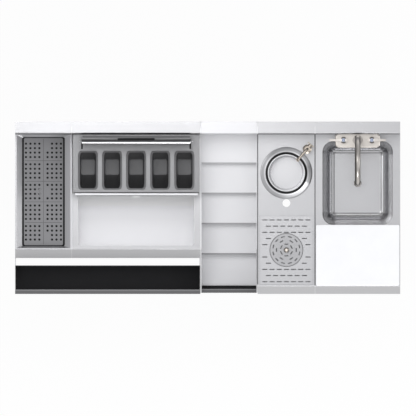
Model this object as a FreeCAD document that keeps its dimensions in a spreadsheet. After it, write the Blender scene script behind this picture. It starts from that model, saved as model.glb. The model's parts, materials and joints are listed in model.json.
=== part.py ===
import FreeCAD, Part

import math
import os
import re

import Sketcher

# Bar station: drainboard, ice bin with condiment tray and speed rail, stepped bottle display,
# dipper well with glass rinser, and hand sink.  Millimetres, +X to the operator's right, +Y to
# the backsplash, +Z up.  The origin is on the floor, in the middle of the footprint.

SIZES = {
    # Sections, left to right, and the overall depth.
    "drainboard_width": 202,
    "bin_width": 458.3,
    "display_width": 203.7,
    "utility_width": 204.5,
    "sink_width": 303.1,
    "station_depth": 614,
    "body_depth": 486,
    "deck_height": 762,
    "splash_rise": 152,
    "splash_thickness": 42,
    "gauge": 1.5,
    "bend_radius": 3,
    "back_tuck": 30,
    "bin_fascia_run": 31,
    "sink_fascia_run": 28,
    "fascia_slope": 60,
    "fascia_drop": 200,
    "hem": 15,
    "skirt_bottom": 440,
    "weld_gap": 0.5,
    # Legs and feet.
    "leg_diameter": 41.3,
    "leg_wall": 1.5,
    "leg_inset": 62,
    "leg_end_inset": 45,
    "leg_bottom": 62,
    "socket_diameter": 52,
    "socket_length": 70,
    "channel_width": 70,
    "channel_depth": 30,
    "foot_diameter": 39,
    "foot_stem": 16,
    "foot_height": 58,
    "foot_running_gap": 0.1,
    # Drainboard basin and mat.
    "funnel_border": 3.5,
    "basin_width": 151.7,
    "basin_length": 388,
    "basin_front_margin": 11.5,
    "basin_radius": 6,
    "funnel_drop": 10,
    "basin_depth": 52,
    "mat_width": 139,
    "mat_length": 382,
    "mat_thickness": 3,
    "mat_recess": 2,
    "mat_skirt": 3,
    "mat_hole": 8,
    "mat_pitch": 15.9,
    "mat_cell_width": 76.9,
    "mat_cell_length": 73.4,
    "mat_groove": 1.6,
    "mat_groove_depth": 1,
    # Ice bin.
    "bin_margin": 22.5,
    "bin_front_margin": 13,
    "bin_back_margin": 9,
    "bin_depth": 262,
    "bin_radius": 12,
    "shell_gap": 1,
    "shell_top_drop": 26,
    "shell_floor_gap": 26,
    # Drain fittings.
    "drain_bore": 20,
    "drain_tube": 25,
    "drain_flange": 36,
    "drain_flange_thickness": 2.5,
    "drain_nut": 40,
    "drain_nut_thickness": 9,
    "drain_length": 70,
    # Sliding bin cover and its tracks.
    "track_width": 15.5,
    "cover_clearance": 0.6,
    "cover_thickness": 2,
    "cover_width": 440,
    "cover_depth": 214,
    "cover_hem": 9.2,
    "cover_hem_height": 10,
    "pull_width": 23.5,
    "pull_depth": 7,
    "pull_thickness": 3,
    # Condiment tray, pans and lid.
    "tray_height": 92,
    "tray_width": 448.8,
    "tray_depth": 210,
    "tray_back_gap": 4,
    "tray_front_gap": 14,
    "pan_pitch": 85.8,
    "pan_width": 67.6,
    "pan_length": 138,
    "pan_mouth_width": 58.7,
    "pan_mouth_length": 127,
    "pan_rim": 3,
    "pan_depth": 74,
    "pan_wall": 1.8,
    "pan_fit": 0.8,
    "pan_back_slope": 26,
    "pan_front_slope": 48,
    "pan_side_slope": 3,
    "lid_width": 388,
    "lid_length": 184,
    "lid_plate_offset": 21,
    "lid_skirt": 30,
    "lid_sheet": 2,
    "lid_hinge_rise": 11,
    "lid_slot_width": 132,
    "lid_slot_height": 7,
    "hinge_rod": 5,
    "hinge_running_gap": 0.08,
    "hinge_setback": 24,
    "hinge_ear_front": 27,
    "hinge_ear_back": 9,
    "hinge_ear_thickness": 4,
    # Speed rail.
    "rail_gap": 26,
    "rail_floor": 500,
    "rail_wall": 100,
    "lip_width": 13.5,
    "lip_drop": 12,
    "rail_mat_thickness": 4,
    "bracket_thickness": 3,
    "bracket_height": 190,
    # Stepped display.
    "tier_depth": 107.7,
    "tier_drop": 50,
    "first_tier_drop": 62,
    "display_setback": 4,
    "display_lip": 60,
    "bumper_width": 12.5,
    "bumper_height": 22,
    "side_thickness": 4,
    # Dipper well.
    "well_from_back": 183,
    "well_rim": 185,
    "well_opening": 148,
    "well_depth": 96,
    "well_dish": 5,
    "inner_bowl": 133,
    "inner_bowl_base": 118.6,
    "inner_bowl_depth": 80,
    "inner_bowl_rise": 2,
    "bowl_sheet": 1.2,
    "dipper_base": 32,
    "dipper_body": 20,
    "dipper_right": 74,
    "dipper_forward": 98,
    "dipper_height": 70,
    "dipper_tube": 9.5,
    "dipper_reach": 51,
    "dipper_tip": 13,
    "dipper_stem": 9,
    "dipper_shank": 12,
    "dipper_shank_length": 30,
    "dipper_tail": 10,
    "dipper_tail_length": 25,
    "stem_fit": 0.6,
    "dipper_wing": 13,
    # Waste hole, drainer and rinser.
    "waste_hole": 27.7,
    "waste_from_back": 290.5,
    "drainer_margin": 6,
    "drainer_front_margin": 3.5,
    "drainer_length": 248.5,
    "drainer_recess": 42,
    "drainer_ledge": 8,
    "drainer_sheet": 2.5,
    "drainer_fit": 1,
    "slot_length": 18.6,
    "slot_width": 3.5,
    "slot_pitch": 25.6,
    "slot_row_pitch": 22,
    "slot_front_margin": 12,
    "rinser_from_front": 156.5,
    "rinser_disc": 118,
    "rinser_stem": 30,
    "rinser_stem_drop": 4,
    "rinser_tail": 26,
    "rinser_tail_length": 24.5,
    "rinser_disc_thickness": 4,
    "rinser_rise": 1,
    "rinser_outer_ring": 48,
    "rinser_middle_ring": 35,
    "rinser_inner_ring": 20.7,
    "rinser_slot_length": 14,
    "nozzle_diameter": 18,
    "nozzle_rise": 8,
    "nozzle_travel": 5,
    "nozzle_running_gap": 0.3,
    # Hand sink.
    "sink_bowl_width": 251,
    "sink_bowl_length": 298,
    "sink_bowl_radius": 38,
    "sink_bowl_low_radius": 30,
    "sink_bowl_back": 28,
    "sink_bowl_depth": 235,
    "sink_bowl_draft": 22,
    "sink_floor_round": 22,
    "sink_drain_bore": 21,
    "sink_drain_flange": 26,
    # Faucet.
    "faucet_width": 160,
    "faucet_projection": 51,
    "faucet_block": 44,
    "faucet_rise": 57,
    "faucet_corner": 14,
    "faucet_centres": 101,
    "collar_diameter": 35,
    "collar_height": 14,
    "spout_tube": 20.5,
    "spout_from_splash": 24,
    "spout_reach": 153,
    "spout_riser": 90,
    "spout_drop": 34,
    "aerator_diameter": 27,
    "aerator_height": 20,
    "handle_dome": 23,
    "handle_height": 24,
    "lever_length": 50,
    "lever_width": 8,
    "lever_thickness": 6,
    "index_diameter": 12.5,
    "index_thickness": 1.6,
    "shank_diameter": 20,
    "supply_tail": 19,
    "supply_tail_length": 28,
    "access_hole": 50,
    "shank_length": 38,
    "nut_diameter": 38,
    "nut_thickness": 8,
    # Cutting board.
    "board_side_gap": 2.85,
    "board_depth": 217,
    "board_thickness": 12,
    "board_corner": 6,
}

MAT_COLUMNS = 2
MAT_ROWS = 5
HOLES_PER_CELL = 4
PAN_COUNT = 5
TIER_COUNT = 5
FLOOR_ROUND_STEPS = 5

doc = FreeCAD.newDocument("BarStation")
sheet = doc.addObject("Spreadsheet::Sheet", "Sizes")
for row, (alias, size) in enumerate(SIZES.items(), 1):
    sheet.set(f"A{row}", alias)
    sheet.set(f"B{row}", str(size))
    sheet.setAlias(f"B{row}", alias)
doc.recompute()

V = FreeCAD.Vector
WORD = re.compile(r"\b(" + "|".join(SIZES) + r")\b")
parts = {}


def cell(text):
    """Turns an expression over size names into one over the sheet's cells."""
    return WORD.sub(r"Sizes.\1", str(text))


def number(text):
    """Value of an expression over size names."""
    return float(sheet.evalExpression(cell(text)))


# Places that several pieces share, as expressions over the sizes.
TOTAL_WIDTH = "(drainboard_width + bin_width + display_width + utility_width + sink_width)"
LEFT = f"(-{TOTAL_WIDTH} / 2)"
BIN_X = f"({LEFT} + drainboard_width)"
DISPLAY_X = f"({BIN_X} + bin_width)"
UTILITY_X = f"({DISPLAY_X} + display_width)"
SINK_X = f"({UTILITY_X} + utility_width)"
RIGHT = f"({TOTAL_WIDTH} / 2)"
BACK = "(station_depth / 2)"
FRONT = "(-station_depth / 2)"
BODY_FRONT = f"({BACK} - body_depth)"
SPLASH_FRONT = f"({BACK} - splash_thickness)"
SPLASH_TOP = "(deck_height + splash_rise)"
DECK_UNDER = "(deck_height - gauge)"
BIN_CENTRE = f"({BIN_X} + bin_width / 2)"
UTILITY_CENTRE = f"({UTILITY_X} + utility_width / 2)"
SINK_CENTRE = f"({SINK_X} + sink_width / 2)"


def keep(item, name):
    """Names a finished piece and lists it for export."""
    item.Label = name
    parts[name] = item
    return item


def bind(item, **properties):
    """Ties properties of a document object to expressions over the sizes."""
    for key, text in properties.items():
        item.setExpression(key.replace("__", "."), cell(text))
    return item


def place(item, x="0", y="0", z="0"):
    for axis, text in zip("xyz", (x, y, z)):
        item.setExpression(f"Placement.Base.{axis}", cell(text))
    return item


def box(name, x, y, z, wide, deep, high):
    """A box from its lowest corner and its size."""
    item = doc.addObject("Part::Box", name)
    bind(item, Length=wide, Width=deep, Height=high)
    return place(item, x, y, z)


def cylinder(name, x, y, z, diameter, high):
    """An upright cylinder from the centre of its base."""
    item = doc.addObject("Part::Cylinder", name)
    bind(item, Radius=f"({diameter}) / 2", Height=high)
    return place(item, x, y, z)


def cut(name, base, tool):
    item = doc.addObject("Part::Cut", name)
    item.Base = base
    item.Tool = tool
    return item


def fuse(name, shapes):
    item = doc.addObject("Part::MultiFuse", name)
    item.Shapes = shapes
    return item


def group(name, shapes):
    """Separate solids that share one node."""
    item = doc.addObject("Part::Compound", name)
    item.Links = shapes
    return item


def new_body(name):
    return doc.addObject("PartDesign::Body", name + "_body")


def sketch_on(item, name, role, offset="0"):
    """A sketch on one of the body's origin planes, moved along its normal."""
    sketch = item.newObject("Sketcher::SketchObject", name)
    plane = next(f for f in item.Origin.OriginFeatures if f.Role == role)
    sketch.AttachmentSupport = (plane, [""])
    sketch.MapMode = "FlatFace"
    sketch.setExpression("AttachmentOffset.Base.z", cell(offset))
    return sketch


def draw(sketch, shapes):
    """Adds shapes to a sketch in one go; each is (geometry, fixed constraints, measured ones)."""
    geometry = []
    fixed = []
    measured = []
    for shape in shapes:
        drawn, ties, sizes = shape(sketch.GeometryCount + len(geometry))
        geometry += drawn
        fixed += ties
        measured += sizes
    sketch.addGeometry(geometry)
    first = sketch.ConstraintCount + len(fixed)
    sketch.addConstraint(fixed + [Sketcher.Constraint(*args, number(text)) for args, text in measured])
    for place_in_list, (_, text) in enumerate(measured):
        sketch.setExpression(f"Constraints[{first + place_in_list}]", cell(text))


def outline(points):
    """A closed outline of straight edges; each corner is held by two expressions."""

    def shape(first):
        spots = [V(number(u), number(v), 0) for u, v in points]
        count = len(spots)
        lines = [Part.LineSegment(spots[i], spots[(i + 1) % count]) for i in range(count)]
        fixed = [Sketcher.Constraint("Coincident", first + i, 2, first + (i + 1) % count, 1) for i in range(count)]
        measured = []
        for i, (u, v) in enumerate(points):
            measured.append((("DistanceX", -1, 1, first + i, 1), u))
            measured.append((("DistanceY", -1, 1, first + i, 1), v))
        return lines, fixed, measured

    return shape


def circle(x, y, diameter):
    def shape(first):
        radius = f"({diameter}) / 2"
        ring = Part.Circle(V(number(x), number(y), 0), V(0, 0, 1), number(radius))
        measured = [
            (("DistanceX", -1, 1, first, 3), x),
            (("DistanceY", -1, 1, first, 3), y),
            (("Radius", first), radius),
        ]
        return [ring], [], measured

    return shape


def rounded(x, y, wide, deep, radius):
    """A rectangle round the centre (x, y) with rounded corners."""

    def shape(first):
        cx, cy, w, d, r = (number(text) for text in (x, y, wide, deep, radius))
        corners = [(1, 1), (-1, 1), (-1, -1), (1, -1)]
        arcs = []
        for i, (sx, sy) in enumerate(corners):
            centre = V(cx + sx * (w / 2 - r), cy + sy * (d / 2 - r), 0)
            start = i * math.pi / 2
            arcs.append(Part.ArcOfCircle(Part.Circle(centre, V(0, 0, 1), r), start, start + math.pi / 2))
        lines = [Part.LineSegment(arcs[i].EndPoint, arcs[(i + 1) % 4].StartPoint) for i in range(4)]
        fixed = [Sketcher.Constraint("Equal", first, first + i) for i in (1, 2, 3)]
        for i in range(4):
            fixed.append(Sketcher.Constraint("Tangent", first + i, 2, first + 4 + i, 1))
            fixed.append(Sketcher.Constraint("Tangent", first + 4 + i, 2, first + (i + 1) % 4, 1))
        fixed.append(Sketcher.Constraint("Horizontal", first + 4))
        fixed.append(Sketcher.Constraint("Vertical", first + 5))
        measured = [(("Radius", first), radius)]
        for arc, sign in ((first, "+"), (first + 2, "-")):
            back = "-" if sign == "+" else "+"
            measured.append((("DistanceX", -1, 1, arc, 3), f"{x} {sign} ({wide}) / 2 {back} ({radius})"))
            measured.append((("DistanceY", -1, 1, arc, 3), f"{y} {sign} ({deep}) / 2 {back} ({radius})"))
        return arcs + lines, fixed, measured

    return shape


def punches(name, top, depth, spots):
    """Straight cutters for a pattern of holes: each spot is (x, y, length, width, angle)."""
    drop = V(0, 0, -number(depth))
    cutters = []
    for x, y, long, wide, angle in spots:
        radius = number(wide) / 2
        reach = number(long) / 2 - radius
        centre = V(number(x), number(y), number(top))
        if reach < 0.001:
            cutters.append(Part.makeCylinder(radius, drop.Length, centre, V(0, 0, -1)))
            continue
        edges = [
            Part.makeLine(V(-reach, radius, 0), V(reach, radius, 0)),
            Part.Arc(V(reach, radius, 0), V(reach + radius, 0, 0), V(reach, -radius, 0)).toShape(),
            Part.makeLine(V(reach, -radius, 0), V(-reach, -radius, 0)),
            Part.Arc(V(-reach, -radius, 0), V(-reach - radius, 0, 0), V(-reach, radius, 0)).toShape(),
        ]
        cutter = Part.Face(Part.Wire(edges)).extrude(drop)
        cutter.Placement = FreeCAD.Placement(centre, FreeCAD.Rotation(V(0, 0, 1), angle))
        cutters.append(cutter)
    item = doc.addObject("Part::Feature", name)
    item.Shape = Part.makeCompound(cutters)
    return item


def extrude(item, kind, name, sketch, length, reverse=False):
    """A Pad or a Pocket of a sketch."""
    feature = item.newObject("PartDesign::" + kind, name)
    feature.Profile = sketch
    feature.setExpression("Length", cell(length))
    feature.Reversed = reverse
    doc.recompute()
    return feature


def loft(item, kind, name, sketches):
    feature = item.newObject("PartDesign::" + kind, name)
    feature.Profile = sketches[0]
    feature.Sections = sketches[1:]
    feature.Ruled = True
    doc.recompute()
    return feature


def round_edges(item, name, base, choose, radius):
    """Rounds the edges of a feature whose middle point passes the test."""
    names = []
    for index, edge in enumerate(base.Shape.Edges, 1):
        middle = edge.valueAt((edge.FirstParameter + edge.LastParameter) / 2)
        if choose(edge, middle):
            names.append(f"Edge{index}")
    feature = item.newObject("PartDesign::Fillet", name)
    feature.Base = (base, names)
    feature.setExpression("Radius", cell(radius))
    doc.recompute()
    return feature


def revolved(name, points, x="0", y="0", z="0"):
    """A turned piece: an outline of (radius, height) turned about its own upright axis."""
    item = new_body(name)
    sketch = sketch_on(item, name + "_profile", "XZ_Plane")
    draw(sketch, [outline(points)])
    feature = item.newObject("PartDesign::Revolution", name + "_turned")
    feature.Profile = sketch
    feature.ReferenceAxis = (sketch, ["V_Axis"])
    feature.Angle = 360
    doc.recompute()
    return place(item, x, y, z)


# ---------------------------------------------------------------- decks with their backsplash


def deck_sheet(name, x_from, x_to, front, run):
    """One folded sheet: backsplash, deck, sloping fascia and bottom hem."""
    item = new_body(name)
    sketch = sketch_on(item, name + "_section", "YZ_Plane", x_from)
    bottom = "(deck_height - fascia_drop)"
    knee = "(deck_height - fascia_slope)"
    points = [
        (BACK, "deck_height - back_tuck"),
        (BACK, SPLASH_TOP),
        (SPLASH_FRONT, SPLASH_TOP),
        (SPLASH_FRONT, "deck_height"),
        (f"{front} + {run}", "deck_height"),
        (front, knee),
        (front, bottom),
        (f"{front} + hem", bottom),
        (f"{front} + hem", f"{bottom} + gauge"),
        (f"{front} + gauge", f"{bottom} + gauge"),
        (f"{front} + gauge", knee),
        (f"{front} + {run} + gauge", DECK_UNDER),
        (f"{SPLASH_FRONT} + gauge", DECK_UNDER),
        (f"{SPLASH_FRONT} + gauge", f"{SPLASH_TOP} - gauge"),
        (f"{BACK} - gauge", f"{SPLASH_TOP} - gauge"),
        (f"{BACK} - gauge", "deck_height - back_tuck"),
    ]
    draw(sketch, [outline(points)])
    pad = extrude(item, "Pad", name + "_sheet", sketch, f"{x_to} - {x_from}")
    bends = [points[2], points[3], points[4], points[5]]
    spots = [(number(v), number(w)) for v, w in bends]

    def is_bend(edge, middle):
        along = abs(edge.tangentAt(edge.FirstParameter).x) > 0.99
        return along and any(math.hypot(middle.y - v, middle.z - w) < 0.01 for v, w in spots)

    round_edges(item, name + "_bends", pad, is_bend, "bend_radius")
    return keep(item, name)


def opening(item, name, shape):
    """Cuts through the deck sheet only."""
    sketch = sketch_on(item, name + "_outline", "XY_Plane", "deck_height + gauge")
    draw(sketch, [shape])
    return extrude(item, "Pocket", name, sketch, "gauge * 3")


basin_x = f"({LEFT} + drainboard_width / 2)"
basin_y = f"({BODY_FRONT} + bin_fascia_run + basin_front_margin + basin_length / 2)"
funnel_width = "(drainboard_width - 2 * funnel_border - 2 * weld_gap)"
funnel_front = f"({BODY_FRONT} + bin_fascia_run + bend_radius)"
funnel_back = f"({SPLASH_FRONT} - bend_radius)"
funnel_length = f"({funnel_back} - {funnel_front})"
funnel_y = f"(({funnel_back} + {funnel_front}) / 2)"

drainboard_deck = deck_sheet("drainboard_deck", LEFT, f"({BIN_X} - weld_gap)", BODY_FRONT, "bin_fascia_run")
opening(drainboard_deck, "funnel_opening", rounded(basin_x, funnel_y, funnel_width, funnel_length, "funnel_border"))

bin_mouth_x = BIN_CENTRE
bin_mouth_width = "(bin_width - 2 * bin_margin)"
bin_mouth_front = f"({BODY_FRONT} + bin_fascia_run + bin_front_margin)"
bin_mouth_back = f"({SPLASH_FRONT} - bin_back_margin)"
bin_mouth_length = f"({bin_mouth_back} - {bin_mouth_front})"
bin_mouth_y = f"(({bin_mouth_back} + {bin_mouth_front}) / 2)"

ice_bin_deck = deck_sheet("ice_bin_deck", BIN_X, f"({DISPLAY_X} - weld_gap)", BODY_FRONT, "bin_fascia_run")
bin_mouth = rounded(bin_mouth_x, bin_mouth_y, bin_mouth_width, bin_mouth_length, "bin_radius")
opening(ice_bin_deck, "bin_opening", bin_mouth)

well_x = UTILITY_CENTRE
well_y = f"({BACK} - well_from_back)"
waste_y = f"({BACK} - waste_from_back)"
drainer_width = "(utility_width - 2 * drainer_margin)"
drainer_front = f"({FRONT} + sink_fascia_run + drainer_front_margin)"
drainer_y = f"({drainer_front} + drainer_length / 2)"

tap_x = f"({well_x} + dipper_right)"
tap_y = f"({SPLASH_FRONT} - dipper_forward + 42)"

utility_deck = deck_sheet("utility_deck", UTILITY_X, f"({SINK_X} - weld_gap)", FRONT, "sink_fascia_run")
opening(utility_deck, "well_hole", circle(well_x, well_y, "well_opening + 2 * bowl_sheet + 2"))
opening(utility_deck, "waste_opening", circle(well_x, waste_y, "waste_hole"))
opening(utility_deck, "tap_opening", circle(tap_x, tap_y, "dipper_shank + stem_fit"))
opening(utility_deck, "drainer_opening", rounded(well_x, drainer_y, drainer_width, "drainer_length", "bend_radius"))

sink_bowl_x = SINK_CENTRE
sink_bowl_y = f"({SPLASH_FRONT} - sink_bowl_back - sink_bowl_length / 2)"

hand_sink_deck = deck_sheet("hand_sink_deck", SINK_X, RIGHT, FRONT, "sink_fascia_run")
opening(
    hand_sink_deck, "bowl_opening",
    rounded(sink_bowl_x, sink_bowl_y, "sink_bowl_width", "sink_bowl_length", "sink_bowl_radius"),
)
shank_holes = sketch_on(hand_sink_deck, "shank_circles", "XZ_Plane", f"gauge - {SPLASH_FRONT}")
draw(shank_holes, [
    circle(f"{SINK_CENTRE} {sign} faucet_centres / 2", "deck_height + faucet_rise", "shank_diameter + stem_fit")
    for sign in "-+"
])
extrude(hand_sink_deck, "Pocket", "shank_openings", shank_holes, "gauge * 3")
access_holes = sketch_on(hand_sink_deck, "access_circles", "XZ_Plane", f"2 * gauge - {BACK}")
draw(access_holes, [
    circle(f"{SINK_CENTRE} {sign} faucet_centres / 2", "deck_height + faucet_rise", "access_hole")
    for sign in "-+"
])
extrude(hand_sink_deck, "Pocket", "access_openings", access_holes, "gauge * 3")

# ---------------------------------------------------------------- panels, legs and feet


def side_panel(name, x, top_points):
    """An upright side plate: an outline over depth and height."""
    item = new_body(name)
    sketch = sketch_on(item, name + "_outline", "YZ_Plane", x)
    draw(sketch, [outline(top_points)])
    extrude(item, "Pad", name + "_plate", sketch, "side_thickness")
    return keep(item, name)


PANEL_BACK = f"({BACK} - 2 * gauge)"


def end_panel_outline(front, run):
    """Follows the inside of a deck's splash, deck and fascia, and goes down to the skirt."""
    return [
        (PANEL_BACK, "skirt_bottom"),
        (PANEL_BACK, DECK_UNDER),
        (f"{front} + {run} + 2 * gauge", DECK_UNDER),
        (f"{front} + 2 * gauge", "deck_height - fascia_slope"),
        (f"{front} + 2 * gauge", "deck_height - fascia_drop + 2 * gauge"),
        (f"{front} + hem + gauge", "deck_height - fascia_drop + 2 * gauge"),
        (f"{front} + hem + gauge", "skirt_bottom"),
    ]


side_panel("left_end_panel", f"{LEFT} + gauge", end_panel_outline(BODY_FRONT, "bin_fascia_run"))
side_panel("right_end_panel", f"{RIGHT} - gauge - side_thickness", end_panel_outline(FRONT, "sink_fascia_run"))

back_panel_width = f"({TOTAL_WIDTH} - 2 * gauge)"
back_panel = box(
    "back_panel_sheet", f"{LEFT} + gauge", f"{BACK} - gauge", "skirt_bottom",
    back_panel_width, "gauge", "deck_height - back_tuck - skirt_bottom",
)
back_flange = box(
    "back_panel_flange", f"{LEFT} + gauge + side_thickness", f"{BACK} - 2 * gauge - hem", "skirt_bottom",
    f"{back_panel_width} - 2 * side_thickness", "hem + gauge", "gauge",
)
keep(fuse("back_panel_fused", [back_panel, back_flange]), "back_panel")

leg_left = f"({LEFT} + leg_end_inset)"
leg_right = f"({RIGHT} - leg_end_inset)"
leg_back = f"({BACK} - leg_inset)"
leg_places = [
    ("back_left", leg_left, leg_back),
    ("front_left", leg_left, f"({BODY_FRONT} + leg_inset)"),
    ("back_right", leg_right, leg_back),
    ("front_right", leg_right, f"({FRONT} + leg_inset)"),
]

channels = []
for side, x, front in (("left", leg_left, BODY_FRONT), ("right", leg_right, FRONT)):
    deep = f"({PANEL_BACK} - hem - ({front} + hem + 2 * gauge) - gauge)"
    outer = box(
        f"channel_{side}_block", f"{x} - channel_width / 2", f"{front} + hem + 2 * gauge", "skirt_bottom",
        "channel_width", deep, "channel_depth",
    )
    inner = box(
        f"channel_{side}_hollow", f"{x} - channel_width / 2 + 2 * gauge", f"{front} + hem + 2 * gauge",
        "skirt_bottom + 2 * gauge", "channel_width - 4 * gauge", deep, "channel_depth",
    )
    channels.append(cut(f"channel_{side}", outer, inner))
keep(group("leg_channels_group", channels), "leg_channels")

sockets = []
legs = []
for corner, x, y in leg_places:
    socket_z = "(skirt_bottom - socket_length)"
    shell = cylinder(f"socket_{corner}_shell", x, y, socket_z, "socket_diameter", "socket_length")
    plate = box(
        f"socket_{corner}_plate", f"{x} - channel_width / 2", f"{y} - channel_width / 2",
        "skirt_bottom - 2 * gauge", "channel_width", "channel_width", "2 * gauge",
    )
    bore = cylinder(f"socket_{corner}_bore", x, y, socket_z, "leg_diameter", "socket_length - 2 * gauge")
    both = fuse(f"socket_{corner}_both", [shell, plate])
    sockets.append(cut(f"socket_{corner}", both, bore))
    tube_length = "skirt_bottom - 2 * gauge - leg_bottom"
    tube = cylinder(f"leg_{corner}_tube", x, y, "leg_bottom", "leg_diameter", tube_length)
    hollow = cylinder(
        f"leg_{corner}_hollow", x, y, "leg_bottom + hem", "leg_diameter - 2 * leg_wall", tube_length,
    )
    thread = cylinder(
        f"leg_{corner}_thread", x, y, "leg_bottom - 1", "foot_stem + 2 * foot_running_gap", "hem + 2",
    )
    hollows = fuse(f"leg_{corner}_inside", [hollow, thread])
    legs.append(cut(f"leg_{corner}", tube, hollows))
keep(group("leg_sockets_group", sockets), "leg_sockets")
keep(group("legs_group", legs), "legs")

for corner, x, y in leg_places:
    foot_radius = "(foot_diameter / 2)"
    profile = [
        ("0", "0"),
        (f"{foot_radius} * 0.55", "0"),
        (f"{foot_radius} * 0.78", "foot_height * 0.12"),
        (foot_radius, "foot_height * 0.5"),
        (foot_radius, "foot_height"),
        ("foot_stem / 2", "foot_height"),
        ("foot_stem / 2", "foot_height + 45"),
        ("0", "foot_height + 45"),
    ]
    keep(revolved(f"foot_{corner}_turned", profile, x, y), f"foot_{corner}")

# ---------------------------------------------------------------- drainboard basin and mat


def tapered(item, name, kind, sections):
    """A loft through rounded rectangles: (centre x, centre y, width, length, radius, height)."""
    sketches = []
    for index, (x, y, wide, deep, radius, height) in enumerate(sections):
        sketch = sketch_on(item, f"{name}_ring_{index}", "XY_Plane", height)
        draw(sketch, [rounded(x, y, wide, deep, radius)])
        sketches.append(sketch)
    return loft(item, kind, name, sketches)


def padded(item, name, kind, x, y, wide, deep, radius, top, drop):
    """A rounded block going down from a height."""
    sketch = sketch_on(item, name + "_outline", "XY_Plane", top)
    draw(sketch, [rounded(x, y, wide, deep, radius)])
    return extrude(item, kind, name, sketch, drop, kind == "Pad")


def drilled(item, name, x, y, top, diameter, drop):
    sketch = sketch_on(item, name + "_circle", "XY_Plane", top)
    draw(sketch, [circle(x, y, diameter)])
    return extrude(item, "Pocket", name, sketch, drop)


funnel_low = "(deck_height - funnel_drop)"
basin_floor = "(deck_height - basin_depth)"
basin = new_body("drain_basin")
tapered(basin, "funnel", "AdditiveLoft", [
    (basin_x, basin_y, "basin_width + 2 * gauge", "basin_length + 2 * gauge", "basin_radius + gauge", funnel_low),
    (basin_x, funnel_y, funnel_width, funnel_length, "funnel_border", "deck_height"),
])
padded(
    basin, "basin_block", "Pad", basin_x, basin_y, "basin_width + 2 * gauge", "basin_length + 2 * gauge",
    "basin_radius + gauge", funnel_low, "basin_depth - funnel_drop",
)
tapered(basin, "funnel_inside", "SubtractiveLoft", [
    (basin_x, basin_y, "basin_width", "basin_length", "basin_radius", funnel_low),
    (
        basin_x, funnel_y, f"{funnel_width} - 2 * gauge", f"{funnel_length} - 2 * gauge",
        "funnel_border - gauge", "deck_height",
    ),
])
padded(
    basin, "basin_inside", "Pocket", basin_x, basin_y, "basin_width", "basin_length", "basin_radius",
    funnel_low, "basin_depth - funnel_drop - gauge",
)
drilled(basin, "basin_drain_hole", basin_x, basin_y, f"{basin_floor} + gauge", "drain_tube", "2 * gauge")
keep(basin, "drain_basin")

mat_top = f"({funnel_low} - mat_recess)"
mat_floor = f"({basin_floor} + gauge)"
mat = new_body("drain_mat")
padded(
    mat, "mat_block", "Pad", basin_x, basin_y, "mat_width", "mat_length", "basin_radius",
    mat_top, f"{mat_top} - {mat_floor}",
)
padded(
    mat, "mat_underside", "Pocket", basin_x, basin_y, "mat_width - 2 * mat_skirt", "mat_length - 2 * mat_skirt",
    "basin_radius - mat_skirt", f"{mat_top} - mat_thickness", f"{mat_top} - mat_thickness - {mat_floor}",
)
groove_sketch = sketch_on(mat, "mat_grooves_outline", "XY_Plane", mat_top)
mat_left = f"({basin_x} - mat_width / 2)"
mat_front = f"({basin_y} - mat_length / 2)"
half = "(mat_groove / 2)"
grooves = []
for seam in range(1, MAT_ROWS):
    seam_y = f"({basin_y} + ({seam} - {MAT_ROWS} / 2) * mat_cell_length)"
    grooves.append(outline([
        (f"{mat_left} + mat_skirt", f"{seam_y} - {half}"),
        (f"{mat_left} + mat_width - mat_skirt", f"{seam_y} - {half}"),
        (f"{mat_left} + mat_width - mat_skirt", f"{seam_y} + {half}"),
        (f"{mat_left} + mat_skirt", f"{seam_y} + {half}"),
    ]))
draw(groove_sketch, grooves)
extrude(mat, "Pocket", "mat_grooves", groove_sketch, "mat_groove_depth")
long_seam = sketch_on(mat, "mat_long_seam_outline", "XY_Plane", mat_top)
draw(long_seam, [outline([
    (f"{basin_x} - {half}", f"{mat_front} + mat_skirt"),
    (f"{basin_x} + {half}", f"{mat_front} + mat_skirt"),
    (f"{basin_x} + {half}", f"{mat_front} + mat_length - mat_skirt"),
    (f"{basin_x} - {half}", f"{mat_front} + mat_length - mat_skirt"),
])])
extrude(mat, "Pocket", "mat_long_seam", long_seam, "mat_groove_depth")
# Near the long seam a pair of holes is left solid at each end and in the middle: the mat's clips.
clip_rows = {0: (0, 1), MAT_ROWS // 2: (1, 2), MAT_ROWS - 1: (2, 3)}
middle = f"({HOLES_PER_CELL - 1} / 2)"
holes = []
for column in range(MAT_COLUMNS):
    for cell_row in range(MAT_ROWS):
        for across in range(HOLES_PER_CELL):
            for along in range(HOLES_PER_CELL):
                if column == 1 and across == 0 and along in clip_rows.get(cell_row, ()):
                    continue
                x = f"{basin_x} + ({column} - 0.5) * mat_cell_width + ({across} - {middle}) * mat_pitch"
                y = f"{basin_y} + ({cell_row} - 2) * mat_cell_length + ({along} - {middle}) * mat_pitch"
                holes.append((x, y, "mat_hole", "mat_hole", 0))
hole_cutters = punches("mat_hole_cutters", f"{mat_top} + 1", "mat_thickness + 2", holes)
keep(cut("mat_pierced", mat, hole_cutters), "drain_mat")

# ---------------------------------------------------------------- ice bin

bin_floor = "(deck_height - bin_depth)"
drain_y = f"({BACK} - 150)"
liner = new_body("ice_bin_liner")
padded(
    liner, "liner_block", "Pad", bin_mouth_x, bin_mouth_y, f"{bin_mouth_width} + 2 * gauge",
    f"{bin_mouth_length} + 2 * gauge", "bin_radius + gauge", DECK_UNDER, f"{DECK_UNDER} - {bin_floor} + gauge",
)
padded(
    liner, "liner_inside", "Pocket", bin_mouth_x, bin_mouth_y, bin_mouth_width, bin_mouth_length,
    "bin_radius", DECK_UNDER, f"{DECK_UNDER} - {bin_floor}",
)
drilled(liner, "liner_drain_hole", bin_mouth_x, drain_y, f"{bin_floor} + gauge", "drain_tube", "4 * gauge")
keep(liner, "ice_bin_liner")

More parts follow.
